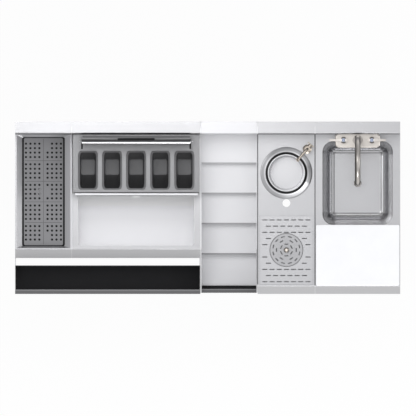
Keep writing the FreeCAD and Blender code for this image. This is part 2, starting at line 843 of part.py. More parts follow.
shell_wide = "(bin_width - 2 * shell_gap - weld_gap)"
foam_wall = f"(({shell_wide} - {bin_mouth_width}) / 2 - 2 * gauge - weld_gap)"
foam_wide = f"({bin_mouth_width} + 2 * gauge + 2 * {foam_wall})"
foam_long = f"({bin_mouth_length} + 2 * gauge + 2 * {foam_wall})"
foam_top = "(deck_height - shell_top_drop)"
foam_floor = f"({bin_floor} - gauge - shell_floor_gap)"
foam = new_body("ice_bin_insulation")
padded(
    foam, "foam_block", "Pad", bin_mouth_x, bin_mouth_y, foam_wide, foam_long, "bin_radius",
    foam_top, f"{foam_top} - {foam_floor}",
)
padded(
    foam, "foam_inside", "Pocket", bin_mouth_x, bin_mouth_y, f"{bin_mouth_width} + 2 * gauge",
    f"{bin_mouth_length} + 2 * gauge", "bin_radius + gauge", foam_top, f"{foam_top} - {bin_floor} + gauge",
)
drilled(foam, "foam_drain_hole", bin_mouth_x, drain_y, f"{bin_floor} + gauge", "drain_tube", "shell_floor_gap * 2")
keep(foam, "ice_bin_insulation")

shell = new_body("ice_bin_shell")
padded(
    shell, "shell_block", "Pad", bin_mouth_x, bin_mouth_y, f"{foam_wide} + 2 * gauge",
    f"{foam_long} + 2 * gauge", "bin_radius + gauge", foam_top, f"{foam_top} - {foam_floor} + gauge",
)
padded(
    shell, "shell_inside", "Pocket", bin_mouth_x, bin_mouth_y, foam_wide, foam_long, "bin_radius",
    foam_top, f"{foam_top} - {foam_floor}",
)
drilled(shell, "shell_drain_hole", bin_mouth_x, drain_y, f"{foam_floor} + gauge", "drain_tube", "gauge * 4")
keep(shell, "ice_bin_shell")

# ---------------------------------------------------------------- drain fittings


def drain_fitting(name, x, y, floor, bore, tube, flange, length):
    """Flange and tailpiece with a lock nut, open right through."""
    ring = cylinder(f"{name}_flange", x, y, floor, flange, "drain_flange_thickness")
    tail = cylinder(f"{name}_tail", x, y, f"{floor} - ({length})", tube, length)
    nut_z = f"{floor} - ({length}) / 2"
    nut = cylinder(f"{name}_nut", x, y, nut_z, f"({tube}) + drain_nut - drain_tube", "drain_nut_thickness")
    solid = fuse(f"{name}_solid", [ring, tail, nut])
    through_low = f"{floor} - ({length}) - 1"
    through_tall = f"({length}) + drain_flange_thickness + 2"
    through = cylinder(f"{name}_through", x, y, through_low, bore, through_tall)
    return cut(name, solid, through)


well_floor = "(deck_height - well_depth)"
drainer_floor = "(deck_height - drainer_recess)"
drain_sites = [
    ("basin_drain", basin_x, basin_y, mat_floor, "drain_length"),
    ("bin_drain", bin_mouth_x, drain_y, bin_floor, "drain_length + shell_floor_gap"),
    ("well_drain", well_x, well_y, f"{well_floor} + bowl_sheet", "drain_length"),
]
fittings = [
    drain_fitting(name, x, y, floor, "drain_bore", "drain_tube", "drain_flange", length)
    for name, x, y, floor, length in drain_sites
]
keep(group("drain_fittings_group", fittings), "drain_fittings")

# ---------------------------------------------------------------- sliding cover

tray_x = BIN_CENTRE
tray_back = f"({SPLASH_FRONT} - tray_back_gap)"
tray_front = f"({tray_back} - tray_depth)"
tray_top = "(deck_height + tray_height)"
tray_left = f"({tray_x} - tray_width / 2)"
mouth_left = f"({bin_mouth_x} - {bin_mouth_width} / 2)"
mouth_right = f"({bin_mouth_x} + {bin_mouth_width} / 2)"
cover_low = "(deck_height + gauge + cover_clearance)"
track_front = bin_mouth_front
track_length = f"({tray_back} - gauge - cover_clearance - {track_front})"
roof_low = f"({cover_low} + cover_thickness + cover_clearance)"

tracks = []
for side, inner, sign in (("left", mouth_left, "-"), ("right", mouth_right, "+")):
    low_x = f"({inner} - track_width)" if side == "left" else inner
    wall_x = low_x if side == "left" else f"({inner} + track_width - gauge)"
    roof_x = low_x if side == "left" else f"({inner} + track_width / 2)"
    base = box(f"track_{side}_base", low_x, track_front, "deck_height", "track_width", track_length, "gauge")
    wall = box(
        f"track_{side}_wall", wall_x, track_front, "deck_height", "gauge", track_length,
        f"{roof_low} + gauge - deck_height",
    )
    roof = box(f"track_{side}_roof", roof_x, track_front, roof_low, "track_width / 2", track_length, "gauge")
    tracks.append(fuse(f"track_{side}", [base, wall, roof]))
keep(group("cover_tracks_group", tracks), "cover_tracks")

cover_back = f"({tray_front} + cover_depth - cover_hem)"
cover_front = f"({tray_front} - cover_hem)"
cover_slide_width = f"({bin_mouth_width} + 2 * track_width - 2 * gauge - 2 * cover_clearance)"
cover = new_body("bin_cover")
plate_sketch = sketch_on(cover, "cover_outline", "XY_Plane", cover_low)
draw(plate_sketch, [rounded(
    bin_mouth_x, f"({cover_back} + {cover_front}) / 2", cover_slide_width,
    f"{cover_back} - {cover_front}", "gauge",
)])
extrude(cover, "Pad", "cover_plate", plate_sketch, "cover_thickness")
hem_sketch = sketch_on(cover, "cover_hem_outline", "XY_Plane", f"{roof_low} + gauge + cover_clearance")
draw(hem_sketch, [rounded(
    bin_mouth_x, f"{cover_front} + cover_hem / 2", "cover_width", "cover_hem", "cover_hem * 0.45",
)])
extrude(cover, "Pad", "cover_hem", hem_sketch, "cover_hem_height - 4")
riser_sketch = sketch_on(cover, "cover_riser_outline", "XY_Plane", cover_low)
draw(riser_sketch, [rounded(
    bin_mouth_x, f"{cover_front} + cover_hem / 2",
    f"{bin_mouth_width} - 2 * cover_clearance", "cover_hem * 0.8", "cover_hem * 0.3",
)])
extrude(cover, "Pad", "cover_riser", riser_sketch, f"{roof_low} + gauge + cover_clearance + 1 - {cover_low}")
keep(cover, "bin_cover")

hem_low = f"({roof_low} + gauge + cover_clearance)"
pull = new_body("cover_pull")
padded(
    pull, "pull_plate", "Pad", bin_mouth_x, f"{cover_front} - pull_depth / 2", "pull_width", "pull_depth",
    "pull_depth * 0.3", f"{hem_low} + pull_thickness", "pull_thickness",
)
keep(pull, "cover_pull")

# ---------------------------------------------------------------- condiment tray, pans, lid

pan_front = f"({tray_front} + tray_front_gap - 0.5)"
pan_y = f"({pan_front} + pan_length / 2)"
pan_body_width = "(pan_width - 6)"
pan_body_length = "(pan_length - 8)"
tray_low = f"({roof_low} + gauge + cover_clearance + cover_hem_height)"

tray_outer = box("tray_outer", tray_left, tray_front, "deck_height", "tray_width", "tray_depth", "tray_height")
tray_inner = box(
    "tray_inner", f"{tray_left} + gauge", f"{tray_front} + gauge", "deck_height - 1",
    "tray_width - 2 * gauge", "tray_depth - 2 * gauge", "tray_height - gauge + 1",
)
front_gap = box(
    "tray_front_clearance", f"{tray_left} - 1", f"{tray_front} - 1", "deck_height - 1",
    "tray_width + 2", "gauge + 2", f"{tray_low} - deck_height + 1",
)
tools = [tray_inner, front_gap]
for index in range(PAN_COUNT):
    pan_x = f"({tray_x} + ({index} - ({PAN_COUNT} - 1) / 2) * pan_pitch)"
    tools.append(box(
        f"tray_opening_{index + 1}", f"{pan_x} - {pan_body_width} / 2 - pan_fit",
        f"{pan_y} - {pan_body_length} / 2 - pan_fit", f"{tray_top} - 2 * gauge",
        f"{pan_body_width} + 2 * pan_fit", f"{pan_body_length} + 2 * pan_fit", "gauge * 4",
    ))
tray_shell = cut("tray_shell", tray_outer, fuse("tray_openings", tools))

hinge_y = f"({tray_back} - hinge_setback)"
hinge_z = f"({tray_top} + lid_hinge_rise)"
ears = []
for side, ear_x in (
    ("left", f"({tray_x} - lid_width / 2 - hinge_ear_thickness - 2)"),
    ("right", f"({tray_x} + lid_width / 2 + 2)"),
):
    ear = box(
        f"ear_{side}_plate", ear_x, f"{hinge_y} - hinge_ear_front", f"{tray_top} - gauge / 2",
        "hinge_ear_thickness", "hinge_ear_front + hinge_ear_back", "lid_hinge_rise + hinge_rod",
    )
    ears.append(ear)
ears_joined = fuse("tray_with_ears", [tray_shell] + ears)
ear_bore = doc.addObject("Part::Cylinder", "ear_bore")
bind(ear_bore, Radius="hinge_rod / 2", Height="lid_width + 40")
ear_bore.Placement.Rotation = FreeCAD.Rotation(V(0, 1, 0), 90)
place(ear_bore, f"{tray_x} - lid_width / 2 - 20", hinge_y, hinge_z)
keep(cut("tray_bored", ears_joined, ear_bore), "condiment_tray")

rod = doc.addObject("Part::Cylinder", "rod_bar")
bind(rod, Radius="hinge_rod / 2", Height="lid_width + 2 * hinge_ear_thickness + 8")
rod.Placement.Rotation = FreeCAD.Rotation(V(0, 1, 0), 90)
place(rod, f"{tray_x} - lid_width / 2 - hinge_ear_thickness - 4", hinge_y, hinge_z)
keep(rod, "lid_hinge_rod")

for index in range(PAN_COUNT):
    name = f"condiment_pan_{index + 1}"
    pan_x = f"({tray_x} + ({index} - ({PAN_COUNT} - 1) / 2) * pan_pitch)"
    pan = new_body(name)
    floor_y = f"({pan_y} + (pan_front_slope - pan_back_slope) / 2)"
    floor_length = f"({pan_body_length} - pan_front_slope - pan_back_slope)"
    tapered(pan, "pan_outside", "AdditiveLoft", [
        (pan_x, floor_y, f"{pan_body_width} - 2 * pan_side_slope", floor_length, "5", f"{tray_top} - pan_depth"),
        (pan_x, pan_y, pan_body_width, pan_body_length, "5", tray_top),
    ])
    padded(
        pan, "pan_rim_plate", "Pad", pan_x, pan_y, "pan_width", "pan_length",
        "5", f"{tray_top} + pan_rim", "pan_rim",
    )
    tapered(pan, "pan_inside", "SubtractiveLoft", [
        (
            pan_x, floor_y, f"{pan_body_width} - 2 * pan_side_slope - 2 * pan_wall",
            f"{floor_length} - 2 * pan_wall", "4", f"{tray_top} - pan_depth + pan_wall",
        ),
        (pan_x, pan_y, "pan_mouth_width", "pan_mouth_length", "4", tray_top),
    ])
    padded(
        pan, "pan_mouth", "Pocket", pan_x, pan_y, "pan_mouth_width", "pan_mouth_length", "4",
        f"{tray_top} + pan_rim", "pan_rim",
    )
    keep(pan, name)

# The lid is drawn standing open: a plate behind the hinge line, a curved skirt at its free
# edge, and two hinge cheeks that turn on the rod.
lid = new_body("condiment_lid")
lid_sketch = sketch_on(lid, "lid_section", "YZ_Plane", f"{tray_x} - lid_width / 2")
plate_y = f"({hinge_y} + lid_plate_offset)"
lid_low = f"({hinge_z} - 4)"
lid_high = f"({hinge_z} + lid_length)"
curve = "(lid_skirt / 3)"
draw(lid_sketch, [outline([
    (f"{plate_y} - lid_sheet", lid_low),
    (plate_y, lid_low),
    (plate_y, f"{lid_high} - {curve}"),
    (f"{plate_y} - {curve} * 0.3", f"{lid_high} - {curve} * 0.3"),
    (f"{plate_y} - {curve}", lid_high),
    (f"{plate_y} - lid_skirt", lid_high),
    (f"{plate_y} - lid_skirt", f"{lid_high} - lid_sheet"),
    (f"{plate_y} - {curve}", f"{lid_high} - lid_sheet"),
    (f"{plate_y} - {curve} * 0.3 - lid_sheet * 0.7", f"{lid_high} - {curve} * 0.3 - lid_sheet * 0.7"),
    (f"{plate_y} - lid_sheet", f"{lid_high} - {curve}"),
])])
extrude(lid, "Pad", "lid_sheet_bent", lid_sketch, "lid_width")
for side, cheek_x in (("left", f"{tray_x} - lid_width / 2"), ("right", f"{tray_x} + lid_width / 2 - lid_sheet")):
    cheek = sketch_on(lid, f"cheek_{side}_outline", "YZ_Plane", cheek_x)
    draw(cheek, [outline([
        (f"{hinge_y} - 6", f"{hinge_z} - 4"),
        (plate_y, f"{hinge_z} - 4"),
        (plate_y, f"{lid_high} - lid_sheet"),
        (f"{plate_y} - lid_plate_offset / 2", f"{lid_high} - lid_sheet"),
        (f"{plate_y} - lid_plate_offset / 2", f"{hinge_z} + 14"),
        (f"{hinge_y} - 6", f"{hinge_z} + 8"),
    ])])
    extrude(lid, "Pad", f"cheek_{side}", cheek, "lid_sheet")
hinge_hole = sketch_on(lid, "hinge_hole_circle", "YZ_Plane", f"{tray_x} - lid_width / 2 - 1")
draw(hinge_hole, [circle(hinge_y, hinge_z, "hinge_rod + 2 * hinge_running_gap")])
extrude(lid, "Pocket", "hinge_hole", hinge_hole, "lid_width + 2", True)
hand_slot = sketch_on(lid, "hand_slot_outline", "XY_Plane", f"{lid_high} + 1")
draw(hand_slot, [rounded(
    tray_x, f"{plate_y} - lid_skirt / 2 - 2", "lid_slot_width", "lid_slot_height",
    "lid_slot_height * 0.45",
)])
extrude(lid, "Pocket", "hand_slot", hand_slot, "lid_sheet + 2")
keep(lid, "condiment_lid")

# ---------------------------------------------------------------- speed rail

rail_left = LEFT
rail_wide = f"({DISPLAY_X} - weld_gap - {LEFT})"
rail_back = f"({BODY_FRONT} - rail_gap)"
rail_long = f"({rail_back} - {FRONT})"
trough_long = f"({rail_long} - lip_width)"
trough = box("rail_trough", rail_left, f"{FRONT} + lip_width", "rail_floor", rail_wide, trough_long, "rail_wall")
hollow = box(
    "rail_hollow", f"{rail_left} + gauge", f"{FRONT} + lip_width + gauge", "rail_floor + gauge",
    f"{rail_wide} - 2 * gauge", f"{trough_long} - 2 * gauge", "rail_wall",
)
lip_low = "(rail_floor + rail_wall - gauge)"
lip_top = box("rail_lip_top", rail_left, FRONT, lip_low, rail_wide, "lip_width + gauge", "gauge")
lip_face = box("rail_lip_face", rail_left, FRONT, "rail_floor + rail_wall - lip_drop", rail_wide, "gauge", "lip_drop")
keep(fuse("rail_folded", [cut("rail_tub", trough, hollow), lip_top, lip_face]), "speed_rail")

keep(box(
    "rail_mat_sheet", f"{rail_left} + gauge + 1", f"{FRONT} + lip_width + gauge + 1", "rail_floor + gauge",
    f"{rail_wide} - 2 * gauge - 2", f"{trough_long} - 2 * gauge - 2", "rail_mat_thickness",
), "speed_rail_mat")

brackets = [
    box(f"rail_bracket_{side}", x, rail_back, "rail_floor", "bracket_thickness", "rail_gap", "bracket_height")
    for side, x in (
        ("left", LEFT),
        ("right", f"({rail_left} + {rail_wide} - bracket_thickness)"),
    )
]
keep(group("rail_brackets_group", brackets), "rail_brackets")

# ---------------------------------------------------------------- stepped display

display_front = f"({FRONT} + display_setback)"
first_tier = "(deck_height - first_tier_drop)"
last_tier = f"({first_tier} - {TIER_COUNT - 1} * tier_drop)"
left_side_x = DISPLAY_X
right_side_x = f"({UTILITY_X} - weld_gap - side_thickness)"
steps_left = f"({DISPLAY_X} + side_thickness)"
steps_wide = f"({right_side_x} - {steps_left})"

over = [(BACK, "deck_height - back_tuck"), (BACK, SPLASH_TOP), (SPLASH_FRONT, SPLASH_TOP)]
under = [(f"{BACK} - gauge", "deck_height - back_tuck"), (f"{BACK} - gauge", f"{SPLASH_TOP} - gauge")]
under.append((f"{SPLASH_FRONT} + gauge", f"{SPLASH_TOP} - gauge"))
for tier in range(TIER_COUNT):
    tread = f"({first_tier} - {tier} * tier_drop)"
    riser_y = f"({SPLASH_FRONT} - {tier} * tier_depth)"
    over.append((riser_y, tread))
    under.append((f"{riser_y} + gauge", f"{tread} - gauge"))
    if tier < TIER_COUNT - 1:
        edge_y = f"({riser_y} - tier_depth)"
        over.append((edge_y, tread))
        under.append((f"{edge_y} + gauge", f"{tread} - gauge"))
lip_back = f"({display_front} + lip_width)"
over += [
    (lip_back, last_tier),
    (lip_back, f"{last_tier} + display_lip"),
    (display_front, f"{last_tier} + display_lip"),
    (display_front, f"{last_tier} + display_lip - lip_drop"),
]
under += [
    (f"{lip_back} - gauge", f"{last_tier} - gauge"),
    (f"{lip_back} - gauge", f"{last_tier} + display_lip - gauge"),
    (f"{display_front} + gauge", f"{last_tier} + display_lip - gauge"),
    (f"{display_front} + gauge", f"{last_tier} + display_lip - lip_drop"),
]
steps = new_body("display_steps")
steps_sketch = sketch_on(steps, "steps_section", "YZ_Plane", steps_left)
draw(steps_sketch, [outline(over + under[::-1])])
extrude(steps, "Pad", "steps_sheet", steps_sketch, steps_wide)
keep(steps, "display_steps")

keep(box(
    "bumper_strip", f"{steps_left} + 1", lip_back, last_tier, f"{steps_wide} - 2", "bumper_width", "bumper_height",
), "display_bumper")

side_outline = [
    (PANEL_BACK, "skirt_bottom + gauge"),
    (PANEL_BACK, f"{SPLASH_TOP}"),
    (SPLASH_FRONT, f"{SPLASH_TOP}"),
    (SPLASH_FRONT, "deck_height"),
    (f"{BODY_FRONT} + bin_fascia_run", "deck_height"),
    (f"{display_front}", f"{last_tier} + display_lip"),
    (f"{display_front}", "skirt_bottom + gauge"),
]
side_panel("display_side_left", left_side_x, side_outline)
side_panel("display_side_right", right_side_x, side_outline)

# ---------------------------------------------------------------- dipper well

well_radius = "(well_opening / 2)"
rim_radius = "(well_rim / 2)"
outer_bowl = revolved("well_bowl_turned", [
    (f"{rim_radius}", "deck_height"),
    (f"{rim_radius}", "deck_height + gauge"),
    (f"{rim_radius} - 5", "deck_height + gauge + 1.5"),
    (well_radius, "deck_height + gauge - well_dish + 3"),
    (well_radius, f"{well_floor} + bowl_sheet"),
    ("drain_tube / 2", f"{well_floor} + bowl_sheet"),
    ("drain_tube / 2", well_floor),
    (f"{well_radius} + bowl_sheet", well_floor),
    (f"{well_radius} + bowl_sheet", "deck_height"),
], well_x, well_y)
keep(outer_bowl, "dipper_well")

bowl_radius = "(inner_bowl / 2)"
bowl_base_radius = "(inner_bowl_base / 2)"
bowl_low = "(deck_height + inner_bowl_rise - inner_bowl_depth)"
bowl_high = "(deck_height + inner_bowl_rise)"
inner_bowl = revolved("inner_bowl_turned", [
    ("0", bowl_low),
    (bowl_base_radius, bowl_low),
    (bowl_radius, bowl_high),
    (f"{bowl_radius} - 3", bowl_high),
    (f"{bowl_radius} - 3", f"{bowl_high} - 1"),
    (f"{bowl_radius} - bowl_sheet", f"{bowl_high} - 1.5"),
    (f"{bowl_base_radius} - bowl_sheet", f"{bowl_low} + bowl_sheet"),
    ("0", f"{bowl_low} + bowl_sheet"),
], well_x, well_y)
keep(inner_bowl, "dipper_bowl")

stand_height = f"({bowl_low} - {well_floor} - bowl_sheet - drain_flange_thickness)"
stand_ring = cylinder(
    "stand_ring", well_x, well_y, f"{well_floor} + bowl_sheet + drain_flange_thickness",
    "drain_flange * 2", stand_height,
)
stand_hole = cylinder(
    "stand_hole", well_x, well_y, f"{well_floor} + bowl_sheet + drain_flange_thickness - 1",
    "drain_flange * 2 - 6", f"{stand_height} + 2",
)
stand_slot = box(
    "stand_slot", f"{well_x} - drain_flange - 1", f"{well_y} - 6", f"{well_floor} - 1",
    "drain_flange * 2 + 2", "12", "14",
)
stand_low = cylinder(
    "stand_foot", well_x, well_y, f"{well_floor} + bowl_sheet", "drain_flange * 2", "drain_flange_thickness",
)
stand_low_hole = cylinder(
    "stand_foot_hole", well_x, well_y, f"{well_floor} + bowl_sheet - 1", "drain_flange * 2 - 6",
    "drain_flange_thickness + 2",
)
stand_solid = fuse("stand_solid", [stand_ring, stand_low])
stand_tools = fuse("stand_tools", [stand_hole, stand_low_hole, stand_slot])
keep(cut("stand_pierced", stand_solid, stand_tools), "dipper_bowl_stand")

# Dipper faucet: turned body on the deck, spout reaching to the bowl, winged handle behind it.
tap_turn = math.degrees(math.atan2(number(f"{well_y} - {tap_y}"), number(f"{well_x} - {tap_x}")))
tap_body = revolved("tap_body_turned", [
    ("0", "deck_height - dipper_shank_length"),
    ("dipper_tail / 2", "deck_height - dipper_shank_length"),
    ("dipper_tail / 2", "deck_height - dipper_shank_length + dipper_tail_length"),
    ("dipper_shank / 2", "deck_height - dipper_shank_length + dipper_tail_length"),
    ("dipper_shank / 2", "deck_height"),
    ("dipper_base / 2", "deck_height"),
    ("dipper_base / 2", "deck_height + 5"),
    ("dipper_body / 2", "deck_height + 9"),
    ("dipper_body / 2", "deck_height + dipper_height - 14"),
    ("dipper_body / 2 - 3", "deck_height + dipper_height - 11"),
    ("0", "deck_height + dipper_height - 11"),
], tap_x, tap_y)


def turned(item, degrees):
    """Turns a finished piece about its own upright axis."""
    item.Placement.Rotation = FreeCAD.Rotation(V(0, 0, 1), degrees)
    return item


def tube(name, path_points, bend, diameter):
    """A round bar along straight runs joined by arcs, as one swept solid."""
    spots = [V(*(number(text) for text in point)) for point in path_points]
    radius = number(bend)
    edges = []
    start = spots[0]
    for before, corner, after in zip(spots, spots[1:], spots[2:]):
        into = (corner - before).normalize()
        out = (after - corner).normalize()
        turn = into.getAngle(out)
        reach = radius * math.tan(turn / 2)
        first = corner - into * reach
        last = corner + out * reach
        inward = (out - into).normalize()
        centre = corner + inward * (radius / math.cos(turn / 2))
        middle = centre - inward * radius
        if (first - start).Length > 0.01:
            edges.append(Part.LineSegment(start, first).toShape())
        edges.append(Part.Arc(first, middle, last).toShape())
        start = last
    if (spots[-1] - start).Length > 0.01:
        edges.append(Part.LineSegment(start, spots[-1]).toShape())
    path = Part.Wire(edges)
    heading = (spots[1] - spots[0]).normalize()
    ring = Part.Wire(Part.Circle(spots[0], heading, number(diameter) / 2).toShape())
    item = doc.addObject("Part::Feature", name)
    item.Shape = path.makePipeShell([ring], True, False)
    return item


spout_base = "(deck_height + dipper_height - 14)"
tap_spout_points = [
    ("0", "0", f"{spout_base} + 3.2"),
    ("0", "0", f"{spout_base} + 26"),
    ("dipper_reach", "0", f"{spout_base} + 26"),
    ("dipper_reach", "0", f"{spout_base} + 2"),
]
tap_pipe = tube("tap_spout_pipe", tap_spout_points, "12", "dipper_tube")
tap_tip = cylinder("tap_spout_tip", "dipper_reach", "0", f"{spout_base} - 8", "dipper_tip", "12")
tap_swivel = cylinder("tap_spout_swivel", "0", "0", f"{spout_base} + 3.2", "dipper_body", "6")
tap_spout = fuse("tap_spout_joined", [tap_pipe, tap_tip, tap_swivel])
place(turned(tap_spout, tap_turn), tap_x, tap_y)
keep(tap_spout, "dipper_faucet_spout")

stem_z = "(deck_height + 34)"
bonnet = doc.addObject("Part::Cylinder", "tap_bonnet")
bind(bonnet, Radius="dipper_stem / 2 + 3", Height="dipper_body / 2 + 6")
bonnet.Placement.Rotation = FreeCAD.Rotation(V(0, 1, 0), -90)
place(bonnet, "0", "0", stem_z)
bonnet_cap = cylinder("tap_bonnet_cap", "0", "0", f"{stem_z} - 1", "dipper_stem", "2")
bonnet_joined = fuse("tap_bonnet_joined", [bonnet, bonnet_cap])
place(turned(bonnet_joined, tap_turn), tap_x, tap_y)
keep(bonnet_joined, "dipper_faucet_bonnet")
keep(cut("tap_body_bored", tap_body, bonnet_joined), "dipper_faucet_body")

handle_start = "(dipper_body / 2 + 6.3)"
hub = doc.addObject("Part::Cylinder", "tap_handle_hub")
bind(hub, Radius="dipper_stem / 2 + 2", Height="6")
hub.Placement.Rotation = FreeCAD.Rotation(V(0, 1, 0), -90)
place(hub, f"-{handle_start}", "0", stem_z)
wing = box(
    "tap_handle_wing", f"-{handle_start} - 6", "-dipper_wing", f"{stem_z} - 3", "4", "2 * dipper_wing", "6",
)
wing_post = box(
    "tap_handle_post", f"-{handle_start} - 6", "-3", f"{stem_z}", "4", "6", "dipper_wing",
)
tap_handle = fuse("tap_handle_joined", [hub, wing, wing_post])
place(turned(tap_handle, tap_turn), tap_x, tap_y)
keep(tap_handle, "dipper_faucet_handle")

# ---------------------------------------------------------------- drainer and glass rinser

rinser_y = f"({FRONT} + rinser_from_front)"
pan_deep = f"({DECK_UNDER} - {drainer_floor})"
drainer = new_body("drainer_pan")
padded(
    drainer, "drainer_block", "Pad", well_x, drainer_y, f"{drainer_width}", "drainer_length",
    "bend_radius", DECK_UNDER, f"{pan_deep}",
)
padded(
    drainer, "drainer_inside", "Pocket", well_x, drainer_y, f"{drainer_width} - 2 * drainer_ledge",
    "drainer_length - 2 * drainer_ledge", "bend_radius", DECK_UNDER, f"{pan_deep} - gauge",
)
padded(
    drainer, "drainer_ledge_cut", "Pocket", well_x, drainer_y, f"{drainer_width} - 2 * gauge",
    "drainer_length - 2 * gauge", "bend_radius / 2", DECK_UNDER, "drainer_sheet",
)
drilled(drainer, "rinser_hole", well_x, rinser_y, f"{drainer_floor} + 2 * gauge", "rinser_stem", "gauge * 4")
keep(drainer, "drainer_pan")


insert_wide = f"({drainer_width} - 2 * gauge - 2 * drainer_fit)"
insert_long = "(drainer_length - 2 * gauge - 2 * drainer_fit)"
insert_top = DECK_UNDER
insert = new_body("drainer_insert")
padded(
    insert, "insert_plate", "Pad", well_x, drainer_y, insert_wide, insert_long, "bend_radius / 2",
    insert_top, "drainer_sheet",
)
# Rows of slots from the front: a row of seven, then six between them; rows beside the rinser
# keep only their outer slots.
SLOT_ROWS = 11
MIDDLE_ROW = SLOT_ROWS // 2
slots = []
for slot_row in range(SLOT_ROWS):
    long_row = slot_row % 2 == 0
    count = 7 if long_row else 6
    if slot_row == MIDDLE_ROW:
        continue
    beside = abs(slot_row - MIDDLE_ROW) <= 2
    for index in range(count):
        if beside and 0 < index < count - 1:
            continue
        x = f"{well_x} + ({index} - ({count} - 1) / 2) * slot_pitch"
        y = f"{drainer_front} + slot_front_margin + {slot_row} * slot_row_pitch"
        slots.append((x, y, "slot_length", "slot_width", 0))
slot_cutters = punches("insert_slot_cutters", f"{insert_top} + 1", "drainer_sheet + 2", slots)
drilled(
    insert, "insert_rinser_hole", well_x, rinser_y, insert_top,
    "rinser_disc + 2 * drainer_fit", "drainer_sheet * 2",
)
keep(cut("insert_pierced", insert, slot_cutters), "drainer_insert")

rinser = new_body("rinser_head")
disc_top = f"({insert_top} + rinser_rise)"
drilled_disc = sketch_on(rinser, "rinser_disc_circle", "XY_Plane", disc_top)
draw(drilled_disc, [circle(well_x, rinser_y, "rinser_disc")])
extrude(rinser, "Pad", "rinser_disc_plate", drilled_disc, "rinser_disc_thickness", True)
stem_sketch = sketch_on(rinser, "rinser_stem_circle", "XY_Plane", f"{disc_top} - rinser_disc_thickness")
draw(stem_sketch, [circle(well_x, rinser_y, "rinser_stem")])
stem_low = f"({drainer_floor} - rinser_stem_drop)"
extrude(rinser, "Pad", "rinser_stem_bar", stem_sketch, f"{disc_top} - rinser_disc_thickness - {stem_low}", True)
tail_sketch = sketch_on(rinser, "rinser_tail_circle", "XY_Plane", stem_low)
draw(tail_sketch, [circle(well_x, rinser_y, "rinser_tail")])
extrude(rinser, "Pad", "rinser_tail_bar", tail_sketch, "rinser_tail_length", True)
ring_slots = []
for count, start, ring in ((12, 15, "rinser_outer_ring"), (6, 0, "rinser_middle_ring"), (6, 30, "rinser_inner_ring")):
    for index in range(count):
        angle = start + index * 360 / count
        x = f"{well_x} + {math.cos(math.radians(angle)):.6f} * {ring}"
        y = f"{rinser_y} + {math.sin(math.radians(angle)):.6f} * {ring}"
        ring_slots.append((x, y, "rinser_slot_length", "slot_width", angle + 90))
ring_cutters = punches("disc_slot_cutters", f"{disc_top} + 1", "rinser_disc_thickness + 2", ring_slots)
drilled(
    rinser, "nozzle_bore", well_x, rinser_y, disc_top, "nozzle_diameter * 0.6 + 2 * nozzle_running_gap",
    "rinser_disc_thickness + 24",
)
keep(cut("rinser_pierced", rinser, ring_cutters), "rinser_head")

nozzle = revolved("nozzle_turned", [
    ("0", f"{disc_top} - 14"),
    ("nozzle_diameter * 0.3", f"{disc_top} - 14"),
    ("nozzle_diameter * 0.3", f"{disc_top} + nozzle_travel + 0.6"),
    ("nozzle_diameter / 2", f"{disc_top} + nozzle_travel + 0.6"),
    ("nozzle_diameter / 2", f"{disc_top} + nozzle_travel + nozzle_rise - 2"),
    ("nozzle_diameter / 2 - 3", f"{disc_top} + nozzle_travel + nozzle_rise"),
    ("0", f"{disc_top} + nozzle_travel + nozzle_rise"),
], well_x, rinser_y)
keep(nozzle, "rinser_nozzle")

# ---------------------------------------------------------------- hand sink

bowl_floor = "(deck_height - sink_bowl_depth)"


def bowl_solid(name, wall):
    """The bowl's outer or inner form, out by a wall from the inside size, rounded to its floor."""
    item = new_body(name)
    low = f"({bowl_floor} - {wall})"
    rings = []
    for step in range(FLOOR_ROUND_STEPS + 1):
        angle = math.radians(90 * step / FLOOR_ROUND_STEPS)
        rise = f"((sink_floor_round + {wall}) * {1 - math.cos(angle):.6f})"
        inset = f"((sink_floor_round + {wall}) * {1 - math.sin(angle):.6f} - {wall})"
        lean = f"(sink_bowl_draft * (1 - {rise} / sink_bowl_depth) + {inset})"
        rings.append((
            sink_bowl_x, sink_bowl_y, f"sink_bowl_width - 2 * {lean}", f"sink_bowl_length - 2 * {lean}",
            f"sink_bowl_low_radius - {inset}", f"{low} + {rise}",
        ))
    rings.append((
        sink_bowl_x, sink_bowl_y, f"sink_bowl_width + 2 * {wall}", f"sink_bowl_length + 2 * {wall}",
        f"sink_bowl_radius + {wall}", DECK_UNDER,
    ))
    tapered(item, name + "_form", "AdditiveLoft", rings)
    return item


bowl_blank = cut("bowl_blank", bowl_solid("bowl_outside", "gauge"), bowl_solid("bowl_inside", "0"))
bowl_hole = cylinder(
    "bowl_drain_hole", sink_bowl_x, sink_bowl_y, f"{bowl_floor} - 4 * gauge",
    "sink_drain_bore + 2 * gauge", "8 * gauge",
)
keep(cut("bowl_bored", bowl_blank, bowl_hole), "hand_sink_bowl")
sink_drain = drain_fitting(
    "sink_drain_fitting", sink_bowl_x, sink_bowl_y, bowl_floor, "sink_drain_bore", "sink_drain_bore + 2 * gauge",
    "sink_drain_flange + 4", "drain_length",
)
keep(sink_drain, "sink_drain")

# ---------------------------------------------------------------- hand-sink faucet

